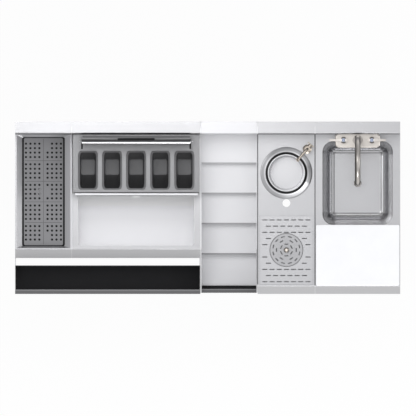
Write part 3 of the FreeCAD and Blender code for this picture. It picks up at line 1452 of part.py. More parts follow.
faucet_high = "(deck_height + faucet_rise + faucet_block / 2)"
faucet_y = f"({SPLASH_FRONT} - spout_from_splash)"
faucet = new_body("faucet_body")
block = padded(
    faucet, "faucet_block_pad", "Pad", SINK_CENTRE, f"{SPLASH_FRONT} - faucet_projection / 2", "faucet_width",
    "faucet_projection", "faucet_corner", faucet_high, "faucet_block",
)
round_edges(
    faucet, "faucet_edges", block,
    lambda edge, middle: abs(edge.tangentAt(edge.FirstParameter).z) < 0.5, "4",
)
for side, sign in (("left", "-"), ("right", "+")):
    shank = sketch_on(faucet, f"shank_{side}_circle", "XZ_Plane", f"-({SPLASH_FRONT} - faucet_corner)")
    draw(shank, [circle(f"{SINK_CENTRE} {sign} faucet_centres / 2", "deck_height + faucet_rise", "shank_diameter")])
    extrude(faucet, "Pad", f"shank_{side}", shank, "shank_length - supply_tail_length + faucet_corner", True)
    tail_start = f"({SPLASH_FRONT} + shank_length - supply_tail_length)"
    tail = sketch_on(faucet, f"tail_{side}_circle", "XZ_Plane", f"-{tail_start}")
    draw(tail, [circle(f"{SINK_CENTRE} {sign} faucet_centres / 2", "deck_height + faucet_rise", "supply_tail")])
    extrude(faucet, "Pad", f"tail_{side}", tail, "supply_tail_length", True)
keep(faucet, "faucet_body")

nuts = []
for side, sign in (("left", "-"), ("right", "+")):
    centre_x = f"({SINK_CENTRE} {sign} faucet_centres / 2)"
    nut = doc.addObject("Part::Prism", f"nut_{side}_blank")
    nut.Polygon = 6
    bind(nut, Circumradius="nut_diameter / 2", Height="nut_thickness")
    nut.Placement.Rotation = FreeCAD.Rotation(V(1, 0, 0), -90)
    place(nut, centre_x, f"{SPLASH_FRONT} + gauge", "deck_height + faucet_rise")
    bore = doc.addObject("Part::Cylinder", f"nut_{side}_bore")
    bind(bore, Radius="shank_diameter / 2", Height="nut_thickness + 2")
    bore.Placement.Rotation = FreeCAD.Rotation(V(1, 0, 0), -90)
    place(bore, centre_x, f"{SPLASH_FRONT} + gauge - 1", "deck_height + faucet_rise")
    nuts.append(cut(f"nut_{side}", nut, bore))
keep(group("faucet_nuts_group", nuts), "faucet_locknuts")

collar = cylinder("spout_collar", "0", "0", f"{faucet_high} + 0.3", "collar_diameter", "collar_height")
goose = tube("spout_pipe", [
    ("0", "0", f"{faucet_high} + 4"),
    ("0", "0", f"{faucet_high} + spout_riser + spout_reach / 2"),
    ("0", "-spout_reach", f"{faucet_high} + spout_riser + spout_reach / 2"),
    ("0", "-spout_reach", f"{faucet_high} + spout_riser - spout_drop"),
], "spout_reach / 2 - 0.01", "spout_tube")
keep(place(fuse("spout_joined", [collar, goose]), SINK_CENTRE, faucet_y), "faucet_spout")

aerator = revolved("aerator_turned", [
    ("0", "-aerator_height"),
    ("aerator_diameter / 2 - 2", "-aerator_height"),
    ("aerator_diameter / 2", "2 - aerator_height"),
    ("aerator_diameter / 2", "0"),
    ("0", "0"),
], SINK_CENTRE, f"{faucet_y} - spout_reach", f"{faucet_high} + spout_riser - spout_drop")
keep(aerator, "faucet_aerator")

for side, sign, mirror in (("hot", "-", -1), ("cold", "+", 1)):
    centre_x = f"({SINK_CENTRE} {sign} faucet_centres / 2)"
    handle_low = f"({faucet_high} + 0.3)"
    dome = cylinder(f"handle_{side}_dome", centre_x, faucet_y, handle_low, "handle_dome", "handle_height")
    lever_x = centre_x if mirror > 0 else f"({centre_x} - lever_length)"
    lever_y = f"({faucet_y} - lever_width / 2)"
    lever_z = f"({handle_low} + handle_height * 0.5)"
    lever = box(f"handle_{side}_lever", lever_x, lever_y, lever_z, "lever_length", "lever_width", "lever_thickness")
    tail_x = f"({centre_x} - handle_dome / 2 - 6)" if mirror > 0 else centre_x
    tail = box(
        f"handle_{side}_tail", tail_x, f"{faucet_y} - lever_width / 4", lever_z, "handle_dome / 2 + 6",
        "lever_width / 2", "lever_thickness",
    )
    solid = fuse(f"handle_{side}_solid", [dome, lever, tail])
    seat = cylinder(
        f"handle_{side}_seat", centre_x, faucet_y, f"{handle_low} + handle_height - index_thickness / 2",
        "index_diameter", "index_thickness",
    )
    keep(cut(f"handle_{side}_seated", solid, seat), f"faucet_handle_{side}")
    button = cylinder(
        f"index_{side}_button", centre_x, faucet_y, f"{handle_low} + handle_height - index_thickness / 2",
        "index_diameter", "index_thickness",
    )
    keep(button, f"faucet_index_{side}")

# ---------------------------------------------------------------- cutting board

board = new_body("cutting_board")
board_back = f"({sink_bowl_y} - sink_bowl_length / 2)"
board_width = "(sink_width - 2 * board_side_gap)"
board_pad = padded(
    board, "board_block", "Pad", SINK_CENTRE, f"{board_back} - board_depth / 2 + 0.3", board_width, "board_depth",
    "board_corner", "deck_height + board_thickness", "board_thickness",
)
round_edges(
    board, "board_edges", board_pad,
    lambda edge, middle: abs(edge.tangentAt(edge.FirstParameter).z) < 0.5, "1.5",
)
keep(board, "cutting_board")

# ---------------------------------------------------------------- checks and export

doc.recompute()
failed = [item.Name for item in doc.Objects if {"Invalid", "Error"} & set(item.State)]
failed += [name for name, item in parts.items() if item.Shape.isNull() or not item.Shape.isValid()]
failed += [name for name, item in parts.items() if not item.Shape.Solids]
if failed:
    raise SystemExit("not sound: " + ", ".join(failed))

os.makedirs("parts", exist_ok=True)
for name, item in parts.items():
    item.Shape.exportStep(os.path.join("parts", name + ".step"))
print(len(parts), "pieces")
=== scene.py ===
import json
import math

import bpy
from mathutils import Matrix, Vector


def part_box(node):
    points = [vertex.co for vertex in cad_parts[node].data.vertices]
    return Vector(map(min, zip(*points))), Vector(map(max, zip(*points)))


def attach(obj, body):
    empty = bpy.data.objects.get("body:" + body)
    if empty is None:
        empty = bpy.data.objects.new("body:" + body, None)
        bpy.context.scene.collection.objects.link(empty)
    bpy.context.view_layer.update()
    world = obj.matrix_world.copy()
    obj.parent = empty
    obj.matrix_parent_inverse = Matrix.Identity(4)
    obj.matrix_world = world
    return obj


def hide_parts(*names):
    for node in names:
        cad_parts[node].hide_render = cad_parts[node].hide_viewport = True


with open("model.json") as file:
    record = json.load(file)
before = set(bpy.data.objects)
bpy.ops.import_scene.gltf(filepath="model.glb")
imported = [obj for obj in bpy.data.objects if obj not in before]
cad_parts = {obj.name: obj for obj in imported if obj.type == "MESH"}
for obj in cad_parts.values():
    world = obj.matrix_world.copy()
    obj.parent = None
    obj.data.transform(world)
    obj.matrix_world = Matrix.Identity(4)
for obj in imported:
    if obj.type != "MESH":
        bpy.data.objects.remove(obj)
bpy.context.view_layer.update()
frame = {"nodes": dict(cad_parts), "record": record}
nodes = frame["nodes"]
MM = 0.001

# ---------------------------------------------------------------- picture and camera

PICTURE_SIDE = 416
METRES_PER_PIXEL = 0.0035617
STATION_MIDDLE = (207.65, 207.75)
CAMERA_HEIGHT = 4.0


def add_camera():
    """Straight down, square to the deck, with the backsplash at the top of the picture."""
    data = bpy.data.cameras.new("plan_camera")
    data.type = "ORTHO"
    data.ortho_scale = PICTURE_SIDE * METRES_PER_PIXEL
    camera = bpy.data.objects.new("plan_camera", data)
    half = PICTURE_SIDE / 2
    camera.location = (
        (half - STATION_MIDDLE[0]) * METRES_PER_PIXEL,
        (STATION_MIDDLE[1] - half) * METRES_PER_PIXEL,
        CAMERA_HEIGHT,
    )
    bpy.context.scene.collection.objects.link(camera)
    bpy.context.scene.camera = camera


# ---------------------------------------------------------------- modelling helpers

SAME_POINT = 0.01 * MM


def deselect():
    """Closes any open mesh and deselects every piece."""
    if bpy.context.object and bpy.context.object.mode == "EDIT":
        bpy.ops.object.mode_set(mode="OBJECT")
    bpy.ops.object.select_all(action="DESELECT")


def only(piece):
    """Makes one piece the selected and active one."""
    deselect()
    piece.select_set(True)
    bpy.context.view_layer.objects.active = piece
    return piece


def settle(piece, name):
    """Names a new piece and puts its place into its mesh."""
    only(piece)
    bpy.ops.object.transform_apply(location=True, rotation=True, scale=True)
    piece.name = name
    piece.data.name = name
    return piece


def modify(piece, kind, **values):
    """Adds a modifier and applies it."""
    only(piece)
    modifier = piece.modifiers.new(kind, kind)
    for key, value in values.items():
        setattr(modifier, key, value)
    bpy.ops.object.modifier_apply(modifier=modifier.name)
    return piece


def edit(piece):
    """Opens a piece for editing with nothing chosen in its mesh."""
    only(piece)
    bpy.ops.object.mode_set(mode="EDIT")
    bpy.ops.mesh.select_mode(type="FACE")
    bpy.ops.mesh.select_all(action="DESELECT")


def done(piece):
    """Closes a piece after editing."""
    bpy.ops.object.mode_set(mode="OBJECT")
    return piece


def recalculate(piece):
    """Merges points that lie on one another and turns every face outward."""
    edit(piece)
    bpy.ops.mesh.select_all(action="SELECT")
    bpy.ops.mesh.remove_doubles(threshold=SAME_POINT)
    bpy.ops.mesh.normals_make_consistent(inside=False)
    return done(piece)


def add_mesh(kind, **values):
    """Adds one of Blender's primitives."""
    deselect()
    getattr(bpy.ops.mesh, f"primitive_{kind}_add")(**values)
    return bpy.context.object


def block(name, low, high):
    """A box between two corners, the start of a piece."""
    low, high = Vector(low), Vector(high)
    piece = add_mesh("cube", size=1, location=(low + high) / 2)
    piece.scale = high - low
    return settle(piece, name)


def bent_sheet(name, x_from, x_to, path, thickness):
    """Sheet metal: one edge along X drawn out through (y, z) points, then given its thickness."""
    y, z = path[0]
    piece = add_mesh("plane", size=1, location=(0, 0, 0))
    piece.name = name
    only(piece)
    bpy.ops.object.mode_set(mode="EDIT")
    bpy.ops.mesh.select_mode(type="VERT")
    bpy.ops.mesh.select_all(action="SELECT")
    bpy.ops.mesh.merge(type="CENTER")
    bpy.ops.transform.translate(value=(x_from, y, z))
    bpy.ops.mesh.extrude_vertices_move(TRANSFORM_OT_translate={"value": (x_to - x_from, 0, 0)})
    bpy.ops.mesh.select_all(action="SELECT")
    bpy.ops.mesh.select_mode(type="EDGE")
    for next_y, next_z in path[1:]:
        bpy.ops.mesh.extrude_region_move(TRANSFORM_OT_translate={"value": (0, next_y - y, next_z - z)})
        y, z = next_y, next_z
    done(piece)
    settle(piece, name)
    return modify(piece, "SOLIDIFY", thickness=thickness, offset=0)


def joined(name, pieces):
    """Joins pieces of one solid thing into one mesh."""
    deselect()
    for piece in pieces:
        piece.select_set(True)
    bpy.context.view_layer.objects.active = pieces[0]
    if len(pieces) > 1:
        bpy.ops.object.join()
    whole = bpy.context.object
    whole.name = name
    whole.data.name = name
    return whole


def ringed(name, rings, corner, steps=6):
    """A rounded-rectangle piece drawn out ring by ring: each is (x, y, width, depth, height)."""
    x, y, wide, deep, z = rings[0]
    piece = add_mesh("plane", size=1, location=(x, y, z))
    piece.scale = (wide, deep, 1)
    settle(piece, name)
    only(piece)
    bpy.ops.object.mode_set(mode="EDIT")
    bpy.ops.mesh.select_mode(type="VERT")
    bpy.ops.mesh.select_all(action="SELECT")
    bpy.ops.mesh.bevel(offset=corner, offset_type="OFFSET", segments=steps, affect="VERTICES")
    bpy.ops.mesh.select_mode(type="FACE")
    bpy.ops.mesh.select_all(action="SELECT")
    for next_x, next_y, next_wide, next_deep, next_z in rings[1:]:
        bpy.ops.mesh.extrude_region_move(
            TRANSFORM_OT_translate={"value": (next_x - x, next_y - y, next_z - z)}
        )
        bpy.ops.transform.resize(
            value=(next_wide / wide, next_deep / deep, 1), center_override=(next_x, next_y, next_z)
        )
        x, y, wide, deep, z = next_x, next_y, next_wide, next_deep, next_z
    done(piece)
    return recalculate(piece)


def carve(piece, cutters):
    """Cuts the space of other meshes out of a piece, and deletes them."""
    for cutter in cutters:
        modify(piece, "BOOLEAN", operation="DIFFERENCE", object=cutter, solver="EXACT")
        bpy.data.objects.remove(cutter)
    return piece


def copied(piece, name, move):
    """A copy of a piece with a mesh of its own, set at another place."""
    only(piece)
    bpy.ops.object.duplicate(linked=False)
    copy = bpy.context.object
    copy.location = move
    return settle(copy, name)


def round_edges(piece, chosen, width, segments=3):
    """Bevels the edges whose two ends both pass a test."""
    edit(piece)
    done(piece)
    points = [vertex.co for vertex in piece.data.vertices]
    for edge in piece.data.edges:
        edge.select = all(chosen(points[index]) for index in edge.vertices)
    bpy.ops.object.mode_set(mode="EDIT")
    bpy.ops.mesh.select_mode(type="EDGE")
    bpy.ops.mesh.bevel(offset=width, offset_type="OFFSET", segments=segments, affect="EDGES")
    return done(piece)


def smooth(piece, angle=40):
    """Shades a piece smooth, apart from its edges sharper than an angle."""
    only(piece)
    bpy.ops.object.shade_smooth_by_angle(angle=math.radians(angle))
    return piece


def middle(low, high):
    return (low + high) / 2


def finish_piece(piece, body, material, replaces=()):
    """Gives a piece its finish, its body and the CAD nodes that it stands for."""
    piece.data.materials.clear()
    piece.data.materials.append(material)
    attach(piece, body)
    if replaces:
        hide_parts(*replaces)
    return piece


# ---------------------------------------------------------------- shader groups


def new_group(name, inputs, outputs):
    """An empty shader group with its sockets, and the nodes at its two ends."""
    group = bpy.data.node_groups.new(name, "ShaderNodeTree")
    for label, kind, value in inputs:
        socket = group.interface.new_socket(name=label, in_out="INPUT", socket_type=kind)
        if value is not None:
            socket.default_value = value
    for label, kind in outputs:
        group.interface.new_socket(name=label, in_out="OUTPUT", socket_type=kind)
    return group, group.nodes.new("NodeGroupInput"), group.nodes.new("NodeGroupOutput")


def math_node(tree, operation, first, second):
    node = tree.nodes.new("ShaderNodeMath")
    node.operation = operation
    for socket, value in zip(node.inputs, (first, second)):
        if isinstance(value, (int, float)):
            socket.default_value = value
        else:
            tree.links.new(value, socket)
    return node.outputs[0]


def noise_node(tree, vector, scale, detail=2.0, roughness=0.5):
    node = tree.nodes.new("ShaderNodeTexNoise")
    node.inputs["Scale"].default_value = scale
    node.inputs["Detail"].default_value = detail
    node.inputs["Roughness"].default_value = roughness
    tree.links.new(vector, node.inputs["Vector"])
    return node.outputs["Fac"]


def ramp_node(tree, value, low, high):
    """Spreads a value between two limits over 0 to 1."""
    node = tree.nodes.new("ShaderNodeMapRange")
    node.inputs["From Min"].default_value = low
    node.inputs["From Max"].default_value = high
    tree.links.new(value, node.inputs["Value"])
    return node.outputs["Result"]


def brushed_group():
    """Fine lines along one axis, broad smears and a little cloudiness, as on brushed sheet."""
    group, given, put = new_group(
        "brushed_grain",
        [("Vector", "NodeSocketVector", None), ("Smear", "NodeSocketFloat", 0.5)],
        [("Line", "NodeSocketFloat"), ("Cloud", "NodeSocketFloat")],
    )
    fine = noise_node(group, given.outputs["Vector"], 1.0, 3.0, 0.65)
    stretch = group.nodes.new("ShaderNodeMapping")
    stretch.inputs["Scale"].default_value = (0.25, 0.25, 0.25)
    group.links.new(given.outputs["Vector"], stretch.inputs["Vector"])
    broad = noise_node(group, stretch.outputs["Vector"], 1.0, 1.0, 0.5)
    smear = math_node(group, "MULTIPLY", broad, given.outputs["Smear"])
    line = math_node(
        group, "ADD", math_node(group, "MULTIPLY", fine, 0.7), math_node(group, "MULTIPLY", smear, 0.6)
    )
    position = group.nodes.new("ShaderNodeMapping")
    position.inputs["Scale"].default_value = (0.02, 0.02, 0.02)
    group.links.new(given.outputs["Vector"], position.inputs["Vector"])
    cloud = noise_node(group, position.outputs["Vector"], 3.0, 2.0, 0.5)
    group.links.new(line, put.inputs["Line"])
    group.links.new(cloud, put.inputs["Cloud"])
    return group


def speckle_group():
    """Small moulded grain with a few broader patches, for plastics and rubber."""
    group, given, put = new_group(
        "moulded_grain",
        [("Vector", "NodeSocketVector", None), ("Scale", "NodeSocketFloat", 600.0)],
        [("Grain", "NodeSocketFloat"), ("Patch", "NodeSocketFloat")],
    )
    fine = group.nodes.new("ShaderNodeTexNoise")
    fine.inputs["Detail"].default_value = 2.0
    group.links.new(given.outputs["Vector"], fine.inputs["Vector"])
    group.links.new(given.outputs["Scale"], fine.inputs["Scale"])
    patch = noise_node(group, given.outputs["Vector"], 14.0, 3.0, 0.6)
    group.links.new(fine.outputs["Fac"], put.inputs["Grain"])
    group.links.new(patch, put.inputs["Patch"])
    return group


def turned_group():
    """Distance from an upright axis and the turn about it, for things that were spun or turned."""
    group, given, put = new_group(
        "turned_place",
        [("Vector", "NodeSocketVector", None)],
        [("Radius", "NodeSocketFloat"), ("Turn", "NodeSocketFloat"), ("Grain", "NodeSocketFloat")],
    )
    parts = group.nodes.new("ShaderNodeSeparateXYZ")
    group.links.new(given.outputs["Vector"], parts.inputs["Vector"])
    across = math_node(group, "POWER", math_node(group, "ABSOLUTE", parts.outputs["X"], 0), 2.0)
    along = math_node(group, "POWER", math_node(group, "ABSOLUTE", parts.outputs["Y"], 0), 2.0)
    radius = math_node(group, "SQRT", math_node(group, "ADD", across, along), 0)
    angle = math_node(group, "ARCTAN2", parts.outputs["Y"], parts.outputs["X"])
    turn = math_node(group, "ADD", math_node(group, "DIVIDE", angle, 2 * math.pi), 0.5)
    together = group.nodes.new("ShaderNodeCombineXYZ")
    group.links.new(math_node(group, "MULTIPLY", radius, 1400.0), together.inputs["X"])
    group.links.new(math_node(group, "MULTIPLY", turn, 3.0), together.inputs["Y"])
    grain = noise_node(group, together.outputs["Vector"], 1.0, 3.0, 0.6)
    group.links.new(radius, put.inputs["Radius"])
    group.links.new(turn, put.inputs["Turn"])
    group.links.new(grain, put.inputs["Grain"])
    return group


def border_group():
    """How far inside a rounded rectangle a point lies, for bowls that were drawn from sheet."""
    group, given, put = new_group(
        "drawn_border",
        [
            ("Vector", "NodeSocketVector", None), ("Half Width", "NodeSocketFloat", 0.1),
            ("Half Depth", "NodeSocketFloat", 0.1), ("Corner", "NodeSocketFloat", 0.03),
        ],
        [("Inset", "NodeSocketFloat")],
    )
    parts = group.nodes.new("ShaderNodeSeparateXYZ")
    group.links.new(given.outputs["Vector"], parts.inputs["Vector"])
    beyond = []
    for axis, half in (("X", "Half Width"), ("Y", "Half Depth")):
        straight = math_node(group, "SUBTRACT", given.outputs[half], given.outputs["Corner"])
        distance = math_node(group, "ABSOLUTE", parts.outputs[axis], 0)
        beyond.append(math_node(group, "SUBTRACT", distance, straight))
    outside = [math_node(group, "POWER", math_node(group, "MAXIMUM", value, 0.0), 2.0) for value in beyond]
    length = math_node(group, "SQRT", math_node(group, "ADD", outside[0], outside[1]), 0)
    inside = math_node(group, "MINIMUM", math_node(group, "MAXIMUM", beyond[0], beyond[1]), 0.0)
    out = math_node(group, "ADD", length, inside)
    group.links.new(math_node(group, "SUBTRACT", given.outputs["Corner"], out), put.inputs["Inset"])
    return group


BRUSHED = brushed_group()
SPECKLE = speckle_group()
TURNED = turned_group()
BORDER = border_group()


STEEL_TINT = (1.0, 1.0, 1.02)
WARM_TINT = (1.06, 1.0, 0.94)
PLASTIC_TINT = (1.0, 1.0, 1.03)
GROUND_SCALE = 900.0


def blank_material(name):
    """A new material with one shader, and the place on the piece that its pattern follows."""
    material = bpy.data.materials.new(name)
    material.use_nodes = True
    tree = material.node_tree
    tree.nodes.clear()
    shader = tree.nodes.new("ShaderNodeBsdfPrincipled")
    output = tree.nodes.new("ShaderNodeOutputMaterial")
    tree.links.new(shader.outputs["BSDF"], output.inputs["Surface"])
    place = tree.nodes.new("ShaderNodeTexCoord").outputs["Object"]
    return material, tree, shader, place


def mixed_colour(tree, factor, low, high):
    """A colour between two, by a value from 0 to 1."""
    node = tree.nodes.new("ShaderNodeMix")
    node.data_type = "RGBA"
    node.inputs["A"].default_value = (*low, 1)
    node.inputs["B"].default_value = (*high, 1)
    tree.links.new(factor, node.inputs["Factor"])
    return node.outputs["Result"]


def steel(name, tone, grain="x", roughness=0.36, tint=STEEL_TINT, depth=0.06, bump=0.05):
    """Brushed stainless sheet; the grain runs along one axis."""
    material, tree, shader, place = blank_material(name)
    scales = {"x": (14, 1500, 1500), "y": (1500, 14, 1500), "z": (1500, 1500, 14)}[grain]
    mapping = tree.nodes.new("ShaderNodeMapping")
    mapping.inputs["Scale"].default_value = scales
    tree.links.new(place, mapping.inputs["Vector"])
    grain_node = tree.nodes.new("ShaderNodeGroup")
    grain_node.node_tree = BRUSHED
    tree.links.new(mapping.outputs["Vector"], grain_node.inputs["Vector"])
    line = grain_node.outputs["Line"]
    low = [tone * (1 - depth) * part for part in tint]
    high = [min(1.0, tone * (1 + depth) * part) for part in tint]
    tree.links.new(mixed_colour(tree, line, low, high), shader.inputs["Base Color"])
    spread = tree.nodes.new("ShaderNodeMapRange")
    spread.inputs["To Min"].default_value = roughness - 0.06
    spread.inputs["To Max"].default_value = roughness + 0.08
    tree.links.new(line, spread.inputs["Value"])
    tree.links.new(spread.outputs["Result"], shader.inputs["Roughness"])
    shader.inputs["Metallic"].default_value = 1.0
    relief = tree.nodes.new("ShaderNodeBump")
    relief.inputs["Strength"].default_value = bump
    relief.inputs["Distance"].default_value = 0.0004
    tree.links.new(line, relief.inputs["Height"])
    tree.links.new(relief.outputs["Normal"], shader.inputs["Normal"])
    return material


def moulded(name, colour, roughness=0.55, scale=600.0, vary=0.12, bump=0.15, specular=0.4):
    """Plastic or rubber with moulded grain and faint patches."""
    material, tree, shader, place = blank_material(name)
    grain_node = tree.nodes.new("ShaderNodeGroup")
    grain_node.node_tree = SPECKLE
    grain_node.inputs["Scale"].default_value = scale
    tree.links.new(place, grain_node.inputs["Vector"])
    patch = ramp_node(tree, grain_node.outputs["Patch"], 0.3, 0.7)
    low = [part * (1 - vary) for part in colour]
    high = [min(1.0, part * (1 + vary)) for part in colour]
    tree.links.new(mixed_colour(tree, patch, low, high), shader.inputs["Base Color"])
    spread = tree.nodes.new("ShaderNodeMapRange")
    spread.inputs["To Min"].default_value = roughness - 0.08
    spread.inputs["To Max"].default_value = roughness + 0.08
    tree.links.new(grain_node.outputs["Grain"], spread.inputs["Value"])
    tree.links.new(spread.outputs["Result"], shader.inputs["Roughness"])
    shader.inputs["Specular IOR Level"].default_value = specular
    relief = tree.nodes.new("ShaderNodeBump")
    relief.inputs["Strength"].default_value = bump
    relief.inputs["Distance"].default_value = 0.0003
    tree.links.new(grain_node.outputs["Grain"], relief.inputs["Height"])
    tree.links.new(relief.outputs["Normal"], shader.inputs["Normal"])
    return material


def tone_ramp(tree, value, low, high, stops):
    """A tone for each place between two limits: stops are (place, tone)."""
    spread = ramp_node(tree, value, low, high)
    ramp = tree.nodes.new("ShaderNodeValToRGB")
    elements = ramp.color_ramp.elements
    while len(elements) < len(stops):
        elements.new(0.5)
    for element, (place, tone) in zip(elements, stops):
        element.position = (place - low) / (high - low)
        element.color = (tone, tone, tone, 1)
    tree.links.new(spread, ramp.inputs["Fac"])
    return ramp.outputs["Color"]


def multiplied(tree, colour, other):
    """A colour multiplied by another one, or by a plain tint."""
    node = tree.nodes.new("ShaderNodeMix")
    node.data_type = "RGBA"
    node.blend_type = "MULTIPLY"
    node.inputs["Factor"].default_value = 1.0
    tree.links.new(colour, node.inputs["A"])
    if isinstance(other, tuple):
        node.inputs["B"].default_value = (*other, 1)
    else:
        tree.links.new(other, node.inputs["B"])
    return node.outputs["Result"]


def centred(tree, place, centre):
    """Places counted from an upright axis through a centre."""
    mapping = tree.nodes.new("ShaderNodeMapping")
    mapping.inputs["Location"].default_value = (-centre[0], -centre[1], 0)
    tree.links.new(place, mapping.inputs["Vector"])
    return mapping.outputs["Vector"]


def ground_finish(tree, shader, colour, grain, roughness, metal=1.0):
    """Sets a shader's colour and lets its roughness wander a little with the grain."""
    tree.links.new(colour, shader.inputs["Base Color"])
    spread = tree.nodes.new("ShaderNodeMapRange")
    spread.inputs["To Min"].default_value = roughness - 0.05
    spread.inputs["To Max"].default_value = roughness + 0.06
    tree.links.new(grain, spread.inputs["Value"])
    tree.links.new(spread.outputs["Result"], shader.inputs["Roughness"])
    shader.inputs["Metallic"].default_value = metal


def radial_tones(name, centre, rings, sectors=(), roughness=0.30, tint=STEEL_TINT, metal=1.0):
    """Tones by radius in mm and by the turn in degrees about an upright axis, on a turned grain; where they
    stand for light, the rings and sectors are painted highlights, reflections and shade.
    """
    material, tree, shader, place = blank_material(name)
    turned_place = tree.nodes.new("ShaderNodeGroup")
    turned_place.node_tree = TURNED
    tree.links.new(centred(tree, place, centre), turned_place.inputs["Vector"])
    stops = [(radius * MM, tone) for radius, tone in rings]
    tone = tone_ramp(tree, turned_place.outputs["Radius"], 0.0, stops[-1][0] * 1.05, stops)
    if sectors:
        bands = [((degrees + 180) / 360, value) for degrees, value in sectors]
        tone = multiplied(tree, tone, tone_ramp(tree, turned_place.outputs["Turn"], 0.0, 1.0, bands))
    ground_finish(tree, shader, multiplied(tree, tone, tint), turned_place.outputs["Grain"], roughness, metal)
    return material


def shaded_finish(name, axis, low, high, stops, roughness=0.40, tint=STEEL_TINT, metal=1.0):
    """A finish whose tone changes along one axis, between two places in mm; metal 0 is plastic or rubber."""
    material, tree, shader, place = blank_material(name)
    parts = tree.nodes.new("ShaderNodeSeparateXYZ")
    tree.links.new(place, parts.inputs["Vector"])
    places = [(at * MM, value) for at, value in stops]
    tone = tone_ramp(tree, parts.outputs[axis], low * MM, high * MM, places)
    grain = noise_node(tree, place, GROUND_SCALE, 3.0, 0.6)
    ground_finish(tree, shader, multiplied(tree, tone, tint), grain, roughness, metal)
    return material


def painted_bowl_bands(name, centre, half, corner, stops, roughness=0.22):
    """Tones by how far inside a bowl's rounded edge, where the drawn sheet turns down and up again: painted
    reflection bands and painted shade.
    """
    material, tree, shader, place = blank_material(name)
    border = tree.nodes.new("ShaderNodeGroup")
    border.node_tree = BORDER
    border.inputs["Half Width"].default_value = half[0]
    border.inputs["Half Depth"].default_value = half[1]
    border.inputs["Corner"].default_value = corner
    tree.links.new(centred(tree, place, centre), border.inputs["Vector"])
    places = [(at * MM, value) for at, value in stops]
    tone = tone_ramp(tree, border.outputs["Inset"], 0.0, places[-1][0] * 1.1, places)
    grain = noise_node(tree, place, GROUND_SCALE, 3.0, 0.6)
    ground_finish(tree, shader, multiplied(tree, tone, STEEL_TINT), grain, roughness)
    return material


# Finishes. Tones run from 0, black, to 1, white. Places and radii are in mm, centres in metres.

DECK_STEEL = steel("deck_steel", 0.53, "x")
# The tray's steel is the deck's steel made much darker: painted shade.
TRAY_STEEL = steel("tray_steel", 0.26, "x")
PANEL_STEEL = steel("panel_steel", 0.62, "z", 0.40)
TUBE_STEEL = steel("tube_steel", 0.66, "z", 0.28)
PUNCHED_STEEL = steel("punched_steel", 0.55, "x", 0.38)
# Steel far lighter than the deck's, for the tray's hem and the strip between drainboard and bin: painted
# highlight.
HIGHLIGHT_STEEL = steel("highlight_steel", 0.80, "x", 0.45)
# Dark steel for the weld lines between sections, and for the lines beside the tray and along the splash foot,
# which are painted shadow.
SEAM_AND_SHADOW_STEEL = steel("seam_and_shadow_steel", 0.22, "y", 0.5)
# Near-black steel for the tray's ears and the strip behind its hem: painted shade.
SHADE_BLACK_STEEL = steel("shade_black_steel", 0.04, "y", 0.45)
SATIN_NICKEL = steel("satin_nickel", 0.62, "z", 0.30, (1.06, 1.0, 0.93), 0.03, 0.02)
DARK_NICKEL = steel("dark_nickel", 0.40, "z", 0.30, (1.12, 1.0, 0.86), 0.05, 0.02)
BLACK_PLASTIC = moulded("black_plastic", (0.045, 0.045, 0.048), 0.45)
BLACK_RUBBER = moulded("black_rubber", (0.011, 0.011, 0.013), 0.7)
WHITE_BOARD = moulded("white_board", (0.94, 0.945, 0.955), 0.5, 300.0, 0.015, 0.1)
WHITE_TAB = moulded("white_tab", (0.98, 0.98, 0.98), 0.35, 500.0, 0.01)
FOAM = moulded("insulating_foam", (0.80, 0.74, 0.55), 0.8, 200.0, 0.1, 0.4)

WELL_CENTRE = (0.28045, 0.124)
RINSER_CENTRE = (0.28045, -0.1505)
SINK_CENTRE = SPOUT_TIP = (0.53425, 0.088)
HOT_CENTRE = (0.48375, 0.241)
COLD_CENTRE = (0.58475, 0.241)

# Dark at the edge, a bright band down the wall, a dark line and a lighter floor: painted shade and painted
# reflections.
SINK_STEEL = painted_bowl_bands(
    "sink_bowl_steel", SINK_CENTRE, (0.12705, 0.1505), 0.038,
    [
        (0, 0.06), (4, 0.12), (7, 0.40), (16, 0.50), (22, 0.60), (27, 0.80), (31, 1.0), (39.5, 1.0),
        (40.8, 0.22), (44.4, 0.26), (46, 0.56), (60, 0.56),
    ],
)
# Dark inside the well, a bright rim, and sectors lighter or darker by the turn: painted shade, painted
# highlight and painted reflections.
WELL_STEEL = radial_tones(
    "dipper_well_steel", WELL_CENTRE,
    [(0, 0.10), (73.4, 0.06), (74.4, 0.30), (76, 0.90), (79, 0.80), (81, 0.56), (90, 0.50), (92.6, 0.34)],
    [
        (-180, 0.95), (-150, 0.80), (-115, 0.80), (-90, 1.0), (-60, 1.0), (-28, 1.0), (-22, 0.42), (15, 0.40),
        (30, 0.75), (55, 1.0), (85, 0.72), (125, 0.66), (150, 1.0), (180, 0.95),
    ],
)
# A dark line, a bright rim and a dark outer edge: painted highlight and painted shade.
DIPPER_STEEL = radial_tones(
    "dipper_bowl_steel", WELL_CENTRE,
    [(0, 0.60), (56, 0.60), (57.6, 0.40), (59, 0.62), (62, 0.80), (65, 0.66), (66.6, 0.16)],
)
# Darker towards the rim: painted shade.
RINSER_STEEL = radial_tones(
    "rinser_steel", RINSER_CENTRE,
    [(0, 0.42), (52, 0.45), (56.5, 0.44), (58, 0.24), (59.2, 0.14)], roughness=0.38,
)
# Bright in the middle and dark at the edge: painted highlight and painted shade.
NOZZLE_NICKEL = radial_tones(
    "nozzle_nickel", RINSER_CENTRE,
    [(0, 0.86), (3.4, 0.80), (5, 0.30), (7, 0.22), (9.2, 0.08)], tint=(1.1, 1.0, 0.9),
)
# A bright ring and a side brighter by the turn, dark at the edge: painted highlight, painted reflection and
# painted shade.
AERATOR_NICKEL = radial_tones(
    "aerator_nickel", SPOUT_TIP, [(0, 0.2), (9, 0.30), (10.5, 0.75), (12, 0.40), (13.6, 0.10)],
    [(-180, 0.4), (-120, 0.5), (-80, 1.0), (-30, 1.0), (20, 0.45), (90, 0.35), (180, 0.4)],
    tint=WARM_TINT,
)
